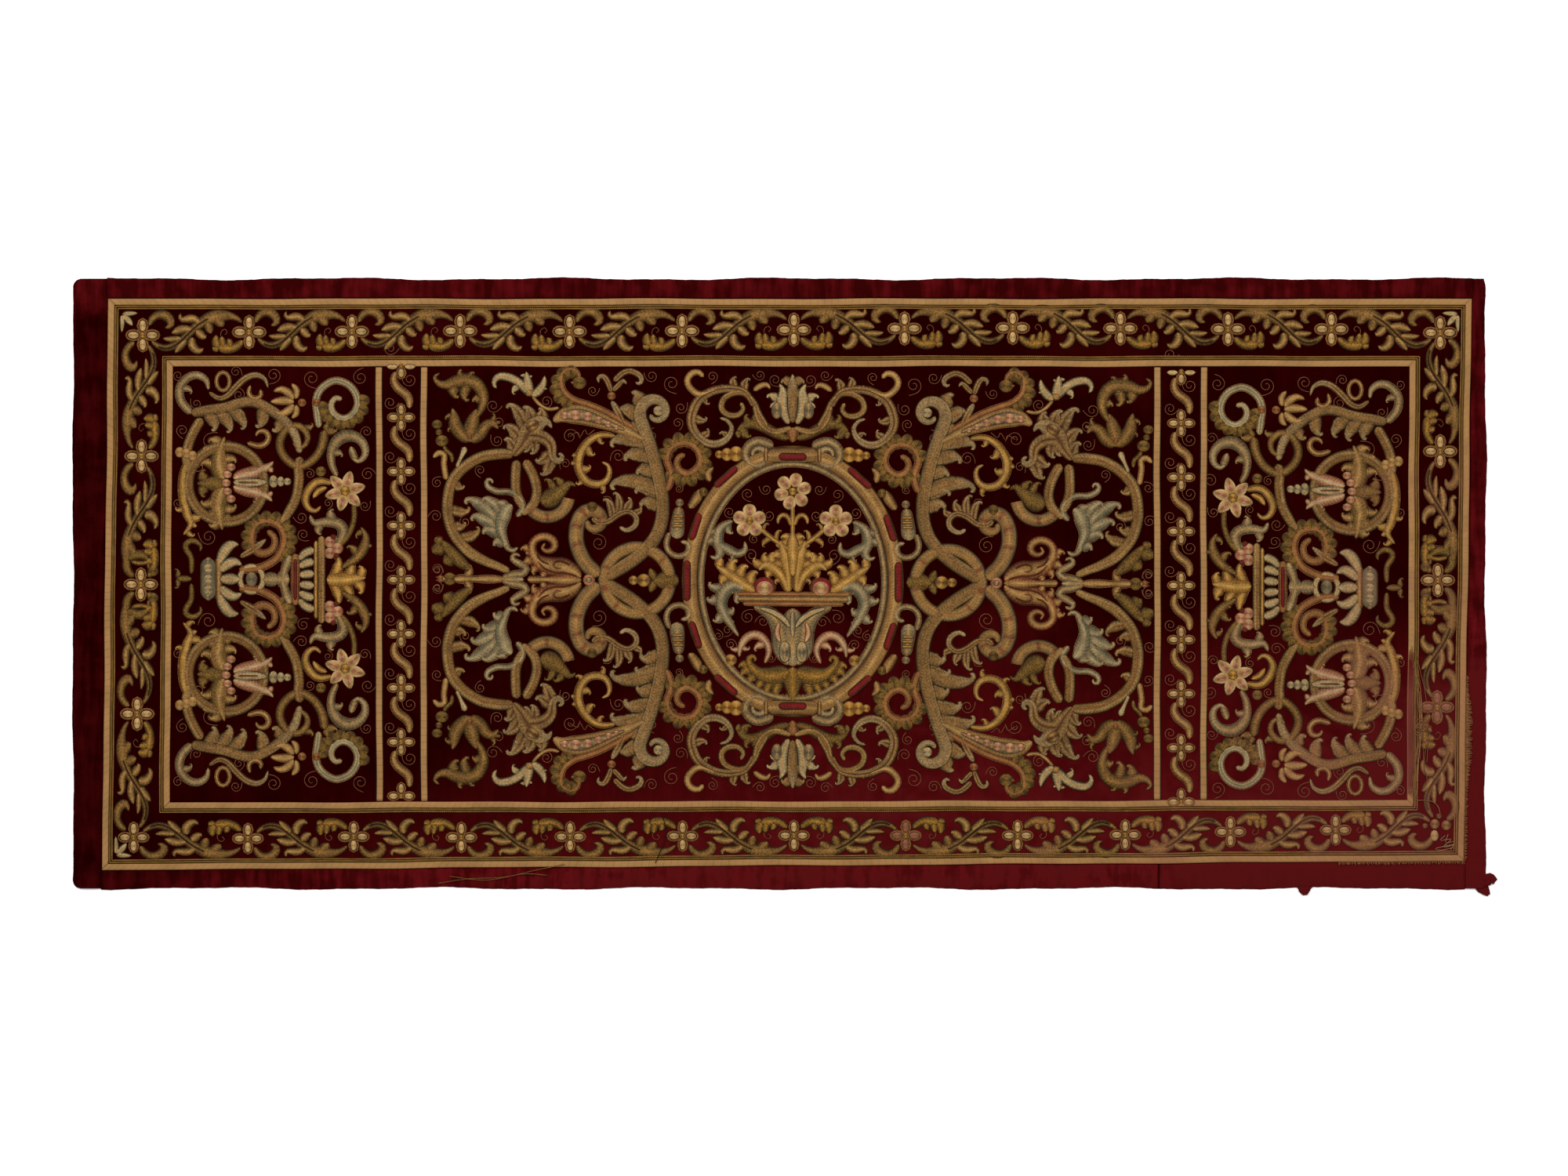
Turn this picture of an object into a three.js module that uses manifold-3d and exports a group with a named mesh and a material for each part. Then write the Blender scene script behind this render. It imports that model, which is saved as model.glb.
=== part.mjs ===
// Embroidered velvet table cover, laid flat. Millimetres, +Z up, X along the length.
// The velvet lies on Z = 0. Silk braid, cords and cut silk motifs are sewn on its top.
// Layout numbers are in the embroidery's own frame, whose centre is DESIGN_SHIFT away
// from the middle of the cloth's box. Motifs are laid out for one quarter or half of the
// cloth, and loops mirror them about the field's axes.

import * as THREE from "three";
import Module from "manifold-3d";

const wasm = await Module();
wasm.setup();

// Driving dimensions
const DESIGN_SHIFT = { x: 9.7, y: 5.8 };
const CLOTH = { left: -1180, right: 1144, top: 503, bottom: -500, corner: 14 };
const SEAM = { topLeft: -1124, bottomLeft: -1134, topRight: 1123, bottomRight: 1110 };
const FRAME_OUT = {
  left: [-1122, -1132], right: [1121, 1108], top: [470, 470], bottom: [-470, -455],
};
const FRAME_IN = {
  left: [-1033, -1038], right: [1036, 1032], top: [376, 376], bottom: [-376, -372],
};
const VELVET = 2.2;
const STRIP = {
  inner: 2.4, crown: 3.3, outer: 2.6, crownSwell: 0.5, outerSwell: 0.3, crownAt: 0.45, rollAt: 0.93,
  rollHeight: 0.6,
};
const GAP = 0.3;
const APPLIQUE = { base: VELVET + GAP, top: VELVET + GAP + 1.4 };
const BAND = { width: 10.5, top: VELVET + GAP + 1.1 };
const CORD = { dark: 3.6, fine: 2.4, rise: 1.8 };
const BAR = { width: 11, endGap: 1.5, steps: 6, positions: [-676, -602.5, 603.5, 680] };
const RIPPLE = { edge: 2.4, side: 0.7, braid: 1.0, quicker: 1.15 };
const FRAME_STEPS = [13, 6];
const VINES = {
  top: [[-1065, 410], [-890, 415], [-721, 416], [-543, 417], [-363, 416], [-178, 417], [6, 419],
    [188, 421], [366, 422], [543, 421], [720, 420], [890, 420], [1069, 414]],
  bottom: [[-1080, -416], [-892, -418], [-718, -415], [-541, -416], [-362, -415], [-177, -414],
    [6, -413], [190, -413], [374, -413], [551, -412], [724, -407], [897, -404], [1066, -399]],
  left: [[-1067, 211], [-1068, 0], [-1074, -213]],
  right: [[1069, 219], [1065, 7], [1064, -202]],
};
const AXIS = { x: 4, y: 9 };
const TILT = { rise: 5, perX: -0.0075 };

// Colours of the silks and velvets
const COLOUR = {
  velvet: 0x3c0410, strip: 0x4a0614, tan: 0xb0844e, dark: 0x463c23, fine: 0xa8824f,
  olive: 0x806834, ivory: 0xb2986c, gold: 0xbe871e, orange: 0xb46e37, grey: 0x787869,
  pink: 0xc47864,
};

const { sin, cos, hypot, abs, ceil, max, PI } = Math;

// A soft unevenness along an edge, s in millimetres along it: a long wave and a short one
const WAVES = { long: { share: 0.65, length: 67 }, short: { share: 0.35, length: 29, phase: 2.3 } };
function ripple(s, phase) {
  const { long, short } = WAVES;
  const slow = long.share * sin(s / long.length + phase);
  return slow + short.share * sin(s / short.length + short.phase * phase);
}

function mix(a, b, t) {
  return a + (b - a) * t;
}

// A solid is { points: [[x, y, z]...], faces: [[i, j, k]...] }, its faces pointing out
function outward(solid) {
  let volume = 0;
  for (const face of solid.faces) {
    const [a, b, c] = face.map((i) => new THREE.Vector3(...solid.points[i]));
    volume += a.dot(b.cross(c));
  }
  if (volume < 0) solid.faces.forEach((face) => face.reverse());
  return solid;
}

// Joins like sections (rings of points) into one solid, with flat ends or closed on itself
function sweep(sections, closed = false) {
  const sides = sections[0].length;
  const points = sections.flat();
  const faces = [];
  const count = sections.length;
  for (let i = 0; i < (closed ? count : count - 1); i++) {
    const here = i * sides;
    const next = ((i + 1) % count) * sides;
    for (let k = 0; k < sides; k++) {
      const m = (k + 1) % sides;
      faces.push([here + k, here + m, next + m], [here + k, next + m, next + k]);
    }
  }
  for (let k = 1; k < sides - 1 && !closed; k++) {
    const last = (count - 1) * sides;
    faces.push([0, k + 1, k], [last, last + k, last + k + 1]);
  }
  return outward({ points, faces });
}

// A flat plate between two heights, from four corners or an outline that its middle sees whole
function plate(outline, bottom, top) {
  const n = outline.length;
  const middle = [0, 1].map((axis) => outline.reduce((sum, p) => sum + p[axis], 0) / n);
  const ring = n === 4 ? outline : [...outline, middle];
  const up = ring.length;
  const points = [bottom, top].flatMap((z) => ring.map(([x, y]) => [x, y, z]));
  const faces = n === 4 ? [[0, 2, 1], [0, 3, 2], [up, up + 1, up + 2], [up, up + 2, up + 3]] : [];
  for (let i = 0; i < n; i++) {
    const j = (i + 1) % n;
    faces.push([i, j, j + up], [i, j + up, i + up]);
    if (n > 4) faces.push([j, i, n], [i + up, j + up, n + up]);
  }
  return outward({ points, faces });
}

function toManifold(solid) {
  return new wasm.Manifold(new wasm.Mesh({
    numProp: 3,
    vertProperties: new Float32Array(solid.points.flat()),
    triVerts: new Uint32Array(solid.faces.flat()),
  }));
}

// Several solids sewn together as one body, its outline true to about SMOOTHING
const SMOOTHING = 1;
function joined(solids, smoothing = SMOOTHING) {
  const mesh = wasm.Manifold.union(solids.map(toManifold)).simplify(smoothing).getMesh();
  const points = [];
  for (let i = 0; i < mesh.vertProperties.length; i += mesh.numProp) {
    points.push([...mesh.vertProperties.slice(i, i + 3)]);
  }
  const faces = [];
  for (let i = 0; i < mesh.triVerts.length; i += 3) faces.push([...mesh.triVerts.slice(i, i + 3)]);
  return { points, faces };
}

const cloth = new THREE.Group();
cloth.position.set(DESIGN_SHIFT.x, DESIGN_SHIFT.y, 0);

function add(name, solid, colour, roughness = 0.6) {
  const geometry = new THREE.BufferGeometry();
  geometry.setAttribute("position", new THREE.Float32BufferAttribute(solid.points.flat(), 3));
  geometry.setIndex(solid.faces.flat());
  geometry.computeVertexNormals();
  const material = new THREE.MeshStandardMaterial({ color: colour, roughness, metalness: 0 });
  const mesh = new THREE.Mesh(geometry, material);
  mesh.name = name;
  cloth.add(mesh);
}

// The corner points of a frame moved inward by inset, in the order tl, tr, br, bl
function corners(frame, inset) {
  return [
    [frame.left[0] + inset, frame.top[0] - inset],
    [frame.right[0] - inset, frame.top[1] - inset],
    [frame.right[1] - inset, frame.bottom[1] + inset],
    [frame.left[1] + inset, frame.bottom[0] + inset],
  ];
}

// Points along one side of a frame (0 top, 1 right, 2 bottom, 3 left), rippled between corners
function frameSide(frame, side, inset) {
  const ring = corners(frame, inset);
  const [a, b] = [ring[side], ring[(side + 1) % 4]];
  const length = hypot(b[0] - a[0], b[1] - a[1]);
  const out = side % 2 === 0 ? [0, 1] : [1, 0];
  const steps = FRAME_STEPS[side % 2];
  const points = [];
  for (let i = 0; i <= steps; i++) {
    const t = i / steps;
    const move = RIPPLE.braid * ripple(t * length, side + 1) * Math.min(1, 6 * t, 6 * (1 - t));
    points.push([mix(a[0], b[0], t) + out[0] * move, mix(a[1], b[1], t) + out[1] * move]);
  }
  return points;
}

function frameRing(frame, inset) {
  return [0, 1, 2, 3].flatMap((side) => frameSide(frame, side, inset).slice(0, -1));
}

// Velvet panel: the field inside the outer braid's edge
const PANEL_MARGIN = 1.2;
add("velvet_panel", plate(frameRing(FRAME_OUT, -PANEL_MARGIN), 0, VELVET), COLOUR.velvet, 0.9);

// Torn scraps of velvet, still held by the strips, that reach past the lower edge
const SCRAP = {
  edge: [[834, -498], [858, -498], [848, -513], [844, -513]],
  corner: [[1136, -478], [1161, -482], [1158, -499], [1150, -515.4], [1128, -512], [1126, -492]],
};

// Velvet border strips, each a rolled strip with a rippled outer edge
function borderStrip(inner, outer) {
  const sections = inner.map(([xi, yi], i) => {
    const [xo, yo] = outer[i];
    const s = xi + yi;
    const crown = STRIP.crown + STRIP.crownSwell * ripple(2.1 * s, 0.7);
    const swell = STRIP.outer + STRIP.outerSwell * ripple(1.3 * s, 2.1);
    const across = (t, z) => [mix(xi, xo, t), mix(yi, yo, t), z];
    return [
      across(0, 0), across(1, 0), across(1, swell * STRIP.rollHeight), across(STRIP.rollAt, swell),
      across(STRIP.crownAt, crown), across(0, STRIP.inner),
    ];
  });
  return sweep(sections);
}

function clothEdge(side, t) {
  const { left, right, top, bottom } = CLOTH;
  const s = t * (side % 2 === 0 ? right - left : top - bottom);
  const move = RIPPLE.edge * ripple(s * RIPPLE.quicker, side * 1.7 + 0.4);
  if (side === 0) return top + move;
  if (side === 1) return right + move;
  if (side === 2) return bottom + move;
  return left + RIPPLE.side * move;
}

// Edge points of the long strips lie between the upright seams, those of the end strips over
// the full height, closer together where the corners are rounded
const SEAM_GAP = 0.15;
const LONG_STEPS = 26;
const END_STEPS = 14;
const CORNER_STOPS = [0, 0.006, 0.014];
const CORNER_ROUND = { left: 0.98, right: 4 };
for (const [name, side] of [["top", 0], ["bottom", 2]]) {
  const [seamLeft, seamRight] = side === 0
    ? [SEAM.topLeft, SEAM.topRight] : [SEAM.bottomLeft, SEAM.bottomRight];
  const edgeSide = frameSide(FRAME_OUT, side, -PANEL_MARGIN - 3 * SEAM_GAP);
  const along = side === 0 ? edgeSide : edgeSide.reverse();
  const inner = [];
  const outer = [];
  for (let i = 0; i <= LONG_STEPS; i++) {
    const x = mix(seamLeft + 2 * SEAM_GAP, seamRight - 2 * SEAM_GAP, i / LONG_STEPS);
    const k = along.findIndex((p, j) => j > 0 && (p[0] >= x || j === along.length - 1));
    const [p, q] = [along[k - 1], along[k]];
    inner.push([x, mix(p[1], q[1], (x - p[0]) / (q[0] - p[0]))]);
    outer.push([x, clothEdge(side, (x - CLOTH.left) / (CLOTH.right - CLOTH.left))]);
  }
  const strip = borderStrip(inner, outer);
  const whole = side === 2 ? joined([strip, plate(SCRAP.edge, 0, VELVET)], 0.01) : strip;
  add(`velvet_strip_${name}`, whole, COLOUR.strip, 0.9);
}
for (const [name, side, edge] of [["left", 3, -1], ["right", 1, 1]]) {
  const inner = [];
  const outer = [];
  const seam = edge < 0 ? [SEAM.bottomLeft, SEAM.topLeft] : [SEAM.bottomRight, SEAM.topRight];
  const middle = Array.from({ length: END_STEPS - 1 }, (_, i) => (i + 1) / END_STEPS);
  const heights = [...CORNER_STOPS, ...middle, ...CORNER_STOPS.map((t) => 1 - t).reverse()];
  for (const t of heights) {
    const y = mix(CLOTH.bottom, CLOTH.top, t);
    const fromEnd = Math.min(y - CLOTH.bottom, CLOTH.top - y);
    const drop = max(0, CLOTH.corner - fromEnd) / CLOTH.corner;
    const rounding = edge < 0
      ? CLOTH.corner * (1 - Math.sqrt(1 - CORNER_ROUND.left * drop * drop)) : CORNER_ROUND.right * drop;
    inner.push([mix(seam[0], seam[1], t) + edge * SEAM_GAP, y]);
    outer.push([clothEdge(side, t) - edge * rounding, y]);
  }
  const strip = borderStrip(inner, outer);
  const whole = edge > 0 ? joined([strip, plate(SCRAP.corner, 0, VELVET)], 0.01) : strip;
  add(`velvet_strip_${name}`, whole, COLOUR.strip, 0.9);
}

// Silk braid: four mitred bands to each frame, and two twisted cords beside them
const SIDES = ["top", "right", "bottom", "left"];
const MITRE = 0.25;
function bandSide(frame, side, near, far) {
  const outerEdge = frameSide(frame, side, near);
  const innerEdge = frameSide(frame, side, far);
  const along = side % 2 === 0 ? [1, 0] : [0, 1];
  const way = side === 0 || side === 3 ? 1 : -1;
  for (const edge of [outerEdge, innerEdge]) {
    edge[0] = [edge[0][0] + way * along[0] * MITRE, edge[0][1] + way * along[1] * MITRE];
    const last = edge[edge.length - 1];
    edge[edge.length - 1] = [last[0] - way * along[0] * MITRE, last[1] - way * along[1] * MITRE];
  }
  const { base } = APPLIQUE;
  return sweep(outerEdge.map(([xo, yo], i) => {
    const [xi, yi] = innerEdge[i];
    return [[xo, yo, base], [xi, yi, base], [xi, yi, BAND.top], [xo, yo, BAND.top]];
  }));
}

function cordRing(frame, inset, width) {
  const outerEdge = frameRing(frame, inset);
  const innerEdge = frameRing(frame, inset + width);
  const { base } = APPLIQUE;
  return sweep(outerEdge.map(([xo, yo], i) => {
    const [xi, yi] = innerEdge[i];
    return [[xo, yo, base], [xi, yi, base], [(xo + xi) / 2, (yo + yi) / 2, base + CORD.rise]];
  }), true);
}

const CORD_GAP = 0.5;
const FRAMES = [
  { name: "outer", frame: FRAME_OUT, order: ["band", "dark", "fine"] },
  { name: "inner", frame: FRAME_IN, order: ["fine", "dark", "band"] },
];
for (const { name, frame, order } of FRAMES) {
  let inset = 0;
  for (const item of order) {
    const width = item === "band" ? BAND.width : CORD[item];
    if (item === "band") {
      SIDES.forEach((side, i) => {
        add(`${name}_band_${side}`, bandSide(frame, i, inset, inset + width), COLOUR.tan);
      });
    } else {
      add(`${name}_${item}_cord`, cordRing(frame, inset, width), COLOUR[item]);
    }
    inset += width + CORD_GAP;
  }
}
const FRAME_DEPTH = BAND.width + CORD.dark + CORD.fine + 2 * CORD_GAP;

// Upright braid bars between the inner frame's long sides
BAR.positions.forEach((x, i) => {
  const sections = [];
  for (let k = 0; k <= BAR.steps; k++) {
    const end = FRAME_DEPTH + BAR.endGap;
    const share = (x - CLOTH.left) / (CLOTH.right - CLOTH.left);
    const low = mix(FRAME_IN.bottom[0], FRAME_IN.bottom[1], share);
    const y = mix(low + end, FRAME_IN.top[0] - end, k / BAR.steps);
    const move = RIPPLE.braid * ripple(y, i);
    const [a, b] = [x - BAR.width / 2 + move, x + BAR.width / 2 + move];
    const { base } = APPLIQUE;
    sections.push([[a, y, base], [b, y, base], [b, y, BAND.top], [a, y, BAND.top]]);
  }
  add(`braid_bar_${i + 1}`, sweep(sections), COLOUR.tan);
});

// A smooth line through a few points, in steps of about one length each
function smooth(points, step) {
  const curve = new THREE.SplineCurve(points.map((p) => new THREE.Vector2(...p)));
  const steps = max(2, ceil(curve.getLength() / step));
  return curve.getSpacedPoints(steps).map((p) => [p.x, p.y]);
}

// A spiral that carries a line on past its end: hand +1 turns left, -1 turns right
const CURL_STEP = PI / 2.6;
const CURL_CLOSING = 0.66;
function curlPoints(line, [radius, turns, hand]) {
  const [p, q] = line.slice(-2);
  const length = hypot(q[0] - p[0], q[1] - p[1]);
  const d = [(q[0] - p[0]) / length, (q[1] - p[1]) / length];
  const n = [-d[1] * hand, d[0] * hand];
  const whole = turns * 2 * PI;
  const steps = ceil(whole / CURL_STEP);
  const points = [];
  for (let i = 1; i <= steps; i++) {
    const a = (whole * i) / steps;
    const r = radius * (1 - (CURL_CLOSING * a) / whole);
    points.push([
      q[0] + n[0] * (radius - r * cos(a)) + d[0] * r * sin(a),
      q[1] + n[1] * (radius - r * cos(a)) + d[1] * r * sin(a),
    ]);
  }
  return points;
}

const STROKE_STEP = 44;
const TAPER = { head: 3, tail: 2 };

// A line of silk with a width that narrows to its ends, as short flat blocks to be joined
function stroke({ path, width, curl, tail = 0.6, head = 0.8, step = STROKE_STEP }) {
  let line = smooth(path, step);
  if (curl) line = [...line, ...curlPoints(line, curl)];
  const last = line.length - 1;
  const edges = line.map(([x, y], i) => {
    const a = line[max(0, i - 1)];
    const b = line[Math.min(last, i + 1)];
    const length = hypot(b[0] - a[0], b[1] - a[1]);
    const n = [-(b[1] - a[1]) / length, (b[0] - a[0]) / length];
    const t = i / last;
    const half = (width / 2) * Math.min(1, head + TAPER.head * t, tail + TAPER.tail * (1 - t));
    return [[x + n[0] * half, y + n[1] * half], [x - n[0] * half, y - n[1] * half]];
  });
  const blocks = [];
  for (let i = 0; i < last; i++) {
    blocks.push([edges[i][0], edges[i][1], edges[i + 1][1], edges[i + 1][0]]);
  }
  return blocks;
}

// A round of points: radius may be two half axes
function round([x, y], rx, ry = rx, count = 10) {
  return Array.from({ length: count }, (_, i) => {
    const a = (2 * PI * (i + 0.5)) / count;
    return [x + rx * cos(a), y + ry * sin(a)];
  });
}

// An elliptical band as short flat blocks, angles in degrees
const HOOP_STEPS = { small: 10, large: 24, largeFrom: 100 };
function hoop([x, y], rx, ry, width, from = 0, to = 360) {
  const around = rx > HOOP_STEPS.largeFrom ? HOOP_STEPS.large : HOOP_STEPS.small;
  const steps = ceil((abs(to - from) / 360) * around);
  const at = (i, move) => {
    const a = ((from + ((to - from) * i) / steps) * PI) / 180;
    return [x + (rx + move) * cos(a), y + (ry + move) * sin(a)];
  };
  const half = width / 2;
  return Array.from({ length: steps }, (_, i) => [
    at(i, -half), at(i, half), at(i + 1, half), at(i + 1, -half),
  ]);
}

// A four-petal flower as one outline
const FLOWER = { reach: 26, across: 7.5, notch: 5.5 };
function flower([x, y], scale = 1) {
  const { reach, across, notch } = FLOWER;
  const petal = [[notch, -notch], [reach, -across], [reach, across]];
  const outline = [[1, 0], [0, 1], [-1, 0], [0, -1]].flatMap(([c, s]) => (
    petal.map(([u, v]) => [x + scale * (u * c - v * s), y + scale * (u * s + v * c)])
  ));
  return [outline];
}

// A star of petals as one outline, with blunt tips
const STAR = { notch: 0.5, tip: 0.85, blunt: 0.55 };
function star([x, y], petals, reach, across) {
  const outline = [];
  for (let k = 0; k < petals; k++) {
    const [a, half] = [(2 * PI * k) / petals, PI / petals];
    const rows = [
      [across * STAR.notch, a - half],
      [reach * STAR.tip, a - STAR.blunt * half],
      [reach * STAR.tip, a + STAR.blunt * half],
    ];
    for (const [r, angle] of rows) outline.push([x + r * cos(angle), y + r * sin(angle)]);
  }
  return [outline];
}

// A body symmetric about a line along X or Y as blocks, from rows of [along, half width]
function turned(rows, axis, along = "x") {
  return rows.slice(1).map(([b, wide], i) => {
    const [a, narrow] = rows[i];
    const block = [[a, axis - narrow], [a, axis + narrow], [b, axis + wide], [b, axis - wide]];
    return along === "x" ? block : block.map(([u, v]) => [v, u]);
  });
}

// Mirrors about the field's axes, and the small tilt with which the embroidery was set on
function mirrored(blocks, flipX, flipY, axis = AXIS) {
  return blocks.map((block) => block.map(([x, y]) => [
    flipX ? 2 * axis.x - x : x,
    flipY ? 2 * axis.y - y : y,
  ]));
}
function set(blocks) {
  return blocks.map((block) => block.map(([x, y]) => [
    x, y - AXIS.y + TILT.rise + TILT.perX * x,
  ]));
}
function sewn(name, blocks, colour) {
  const { base, top } = APPLIQUE;
  add(name, joined(set(blocks).map((block) => plate(block, base, top))), colour);
}

// Border vine: four-petal flowers, and between two of them a long leaf on the diagonal,
// laid out in the repeat's own frame: along it from 0 to REPEAT, and across it.
const REPEAT = 178;
const VINE_LEAF = {
  width: 16, head: 0.5, step: 60, path: [[7, -6], [34, -21], [62, -13], [112, 21], [171, 6]],
};
const SQUEEZE = { bottom: 0.92, side: 0.86 };
function vineBlocks(from, to, flip, squeeze, leaf = VINE_LEAF) {
  const length = hypot(to[0] - from[0], to[1] - from[1]);
  const d = [(to[0] - from[0]) / length, (to[1] - from[1]) / length];
  const across = flip ? -squeeze : squeeze;
  const k = length / REPEAT;
  const move = ([u, v]) => [
    from[0] + d[0] * u * k - d[1] * v * across,
    from[1] + d[1] * u * k + d[0] * v * across,
  ];
  return stroke(leaf).map((block) => block.map(move));
}
function vine(name, blocks) {
  const { base, top } = APPLIQUE;
  add(name, joined(blocks.map((block) => plate(block, base, top))), COLOUR.olive);
}

// The long vines run through every flower, and their leaves grow towards the middle one
for (const [name, low, squeeze] of [["top", false, 1], ["bottom", true, SQUEEZE.bottom]]) {
  const stops = VINES[name];
  const middle = (stops.length - 1) / 2;
  const leaves = stops.slice(1).flatMap((stop, i) => (
    i < middle ? vineBlocks(stops[i], stop, low, squeeze) : vineBlocks(stop, stops[i], !low, squeeze)
  ));
  vine(`border_vine_${name}`, [...leaves, ...stops.flatMap((stop) => flower(stop, squeeze))]);
}

// The side vines grow from the corner flowers to the middle one, which stands between two
// knots: a strap across the vine, with a bead on it. Their first leaf starts clear of the corner.
const CORNER_LEAF = { ...VINE_LEAF, path: [[28, -19], [40, -20], [62, -13], [112, 21], [171, 6]] };
const KNOT = { width: 13, path: [[-20, 38], [-9, 47], [5, 46], [14, 38], [19, 26]] };
const BEAD = { x: 20, y: 22, radius: 8, count: 7 };
for (const [name, edge, corner] of [["left", -1, 0], ["right", 1, VINES.top.length - 1]]) {
  const [upper, middle, lower] = VINES[name];
  const knot = [...stroke(KNOT), round([BEAD.x, BEAD.y], BEAD.radius, BEAD.radius, BEAD.count)];
  vine(`border_vine_${name}`, [
    ...vineBlocks(VINES.top[corner], upper, edge < 0, SQUEEZE.side, CORNER_LEAF),
    ...vineBlocks(upper, middle, edge < 0, SQUEEZE.side),
    ...vineBlocks(lower, middle, edge > 0, SQUEEZE.side),
    ...vineBlocks(VINES.bottom[corner], lower, edge > 0, SQUEEZE.side, CORNER_LEAF),
    ...[1, -1].flatMap((way) => knot.map((block) => block.map(([x, y]) => [
      middle[0] - edge * x, middle[1] + way * y,
    ]))),
    ...[upper, middle, lower].flatMap((stop) => flower(stop, SQUEEZE.side)),
  ]);
}

// Bar vines: a column of four-petal flowers with an S-shaped stem between each two
const COLUMN = { pitch: 89, count: 7, xs: [-640, 643], drop: 2, flower: 0.87 };
const S_STEM = {
  width: 9, head: 1, tail: 1, step: 32, path: [[-2, -14], [-11, -34], [11, -56], [2, -75]],
};
COLUMN.xs.forEach((x, i) => {
  const blocks = [];
  for (let k = 0; k < COLUMN.count; k++) {
    const y = AXIS.y - COLUMN.drop + ((COLUMN.count - 1) / 2 - k) * COLUMN.pitch;
    blocks.push(...flower([x, y], COLUMN.flower));
    if (k < COLUMN.count - 1) {
      blocks.push(...stroke(S_STEM).map((block) => block.map(([u, v]) => [x + u, y + v])));
    }
  }
  sewn(i === 0 ? "column_vine_left" : "column_vine_right", blocks, COLOUR.ivory);
});

// Centre field, upper left quarter, mirrored into the others
const SCROLLWORK = [
  { part: "C stem", width: 12,
    path: [[-455, 214], [-505, 210], [-548, 182], [-563, 135], [-553, 85], [-520, 47], [-464, 12]] },
  { part: "acanthus stem", width: 13,
    path: [[-326, 8], [-262, 41], [-228, 74], [-210, 118], [-214, 168], [-233, 228], [-247, 282]],
    curl: [25, 0.85, -1] },
  { part: "ticked stem", width: 16,
    path: [[-310, 14], [-334, 38], [-350, 72], [-347, 112]], curl: [17, 0.5, -1] },
  { part: "pod", width: 22, head: 0.35, tail: 0.5,
    path: [[-240, 246], [-290, 263], [-340, 281], [-386, 276]] },
  { part: "top scroll", width: 12,
    path: [[-245, 256], [-300, 284], [-350, 302], [-375, 326]], curl: [17, 0.6, -1] },
  { part: "loop stem", width: 12, path: [[-455, 214], [-450, 166], [-425, 118]] },
  { part: "leaf cluster", width: 18, head: 0.5,
    path: [[-458, 216], [-434, 250], [-404, 256], [-392, 226]] },
];
const SCROLLWORK_AXIS = [
  { part: "finial", width: 12, path: [[-575, 9], [-462, 9]] },
  { part: "bar", width: 10, path: [[-470, 9], [-395, 9]] },
];
const PALMETTE = [[-442, 0], [-424, 40], [-404, 62], [-380, 52], [-356, 30], [-330, 10], [-318, 6]];
const RING = { centre: [-252, 9], radius: 54, width: 15 };
const HALF_RING = { centre: [-400, 148], radius: 35, width: 16, from: 215, to: 350 };
const QUARTER_NODES = [
  { name: "corner_tulip", colour: "olive", strokes: [
    { part: "leaf scroll", width: 11,
      path: [[-526, 238], [-508, 268], [-501, 300], [-512, 330]], curl: [22, 0.6, 1] },
    { part: "tulip", width: 26, head: 0.5, path: [[-562, 246], [-532, 252], [-500, 258], [-484, 264]] },
    { part: "stem", width: 6, path: [[-552, 214], [-540, 232], [-528, 248]] },
  ] },
  { name: "acanthus_head", colour: "grey", strokes: [
    { part: "leaf", width: 28, head: 0.4, path: [[-462, 58], [-490, 84], [-500, 116], [-480, 150]] },
  ] },
  { name: "gold_scroll", colour: "gold", strokes: [
    { part: "scroll", width: 11,
      path: [[-290, 244], [-326, 238], [-347, 208], [-340, 176]], curl: [20, 0.75, 1] },
  ] },
  { name: "wheel_scroll", colour: "orange", strokes: [
    { part: "scroll", width: 12, path: [[-196, 168], [-200, 196], [-196, 218]], curl: [27, 0.85, -1] },
  ] },
];
const QUARTERS = [
  { name: "tl", flipX: false, flipY: false }, { name: "tr", flipX: true, flipY: false },
  { name: "bl", flipX: false, flipY: true }, { name: "br", flipX: true, flipY: true },
];
for (const [name, flipX] of [["left", false], ["right", true]]) {
  const { centre, radius, width, from, to } = HALF_RING;
  const half = [
    ...SCROLLWORK.flatMap((row) => stroke(row)), ...hoop(centre, radius, radius, width, from, to),
  ];
  const onAxis = [
    ...SCROLLWORK_AXIS.flatMap((row) => stroke(row)),
    ...turned(PALMETTE, AXIS.y),
    ...hoop(RING.centre, RING.radius, RING.radius, RING.width),
  ];
  const blocks = [...half, ...mirrored(half, false, true), ...onAxis];
  sewn(`scrollwork_${name}`, mirrored(blocks, flipX, false), COLOUR.tan);
}
for (const node of QUARTER_NODES) {
  const blocks = node.strokes.flatMap((row) => stroke(row));
  for (const { name, flipX, flipY } of QUARTERS) {
    sewn(`${node.name}_${name}`, mirrored(blocks, flipX, flipY), COLOUR[node.colour]);
  }
}

// Medallion: an oval cord in a strapwork surround with volutes, bars and tassels
const MEDALLION = { rx: 166, ry: 207, width: 36 };
const VOLUTES = [{ x: -60, y: 215, r: 25, count: 8 }, { x: -92, y: 217, r: 14, count: 6 }];
const TASSEL = [[-198, 74], [-198, 126], [-168, 130], [-168, 70]];
const MEDALLION_BAR = [[-34, 203], [-34, 228], [42, 228], [42, 203]];
{
  const quarter = [...VOLUTES.map(({ x, y, r, count }) => round([x, y], r, r, count)), TASSEL];
  const blocks = [
    ...hoop([AXIS.x, AXIS.y], MEDALLION.rx, MEDALLION.ry, MEDALLION.width),
    ...QUARTERS.flatMap(({ flipX, flipY }) => mirrored(quarter, flipX, flipY)),
    ...mirrored([MEDALLION_BAR], false, false), ...mirrored([MEDALLION_BAR], false, true),
  ];
  sewn("medallion_frame", blocks, COLOUR.tan);
}
const URN = [
  [-170, 12], [-150, 40], [-128, 22], [-108, 30], [-60, 28], [-30, 46], [-28, 86], [-10, 86],
  [-9, 26], [40, 16],
];
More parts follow.
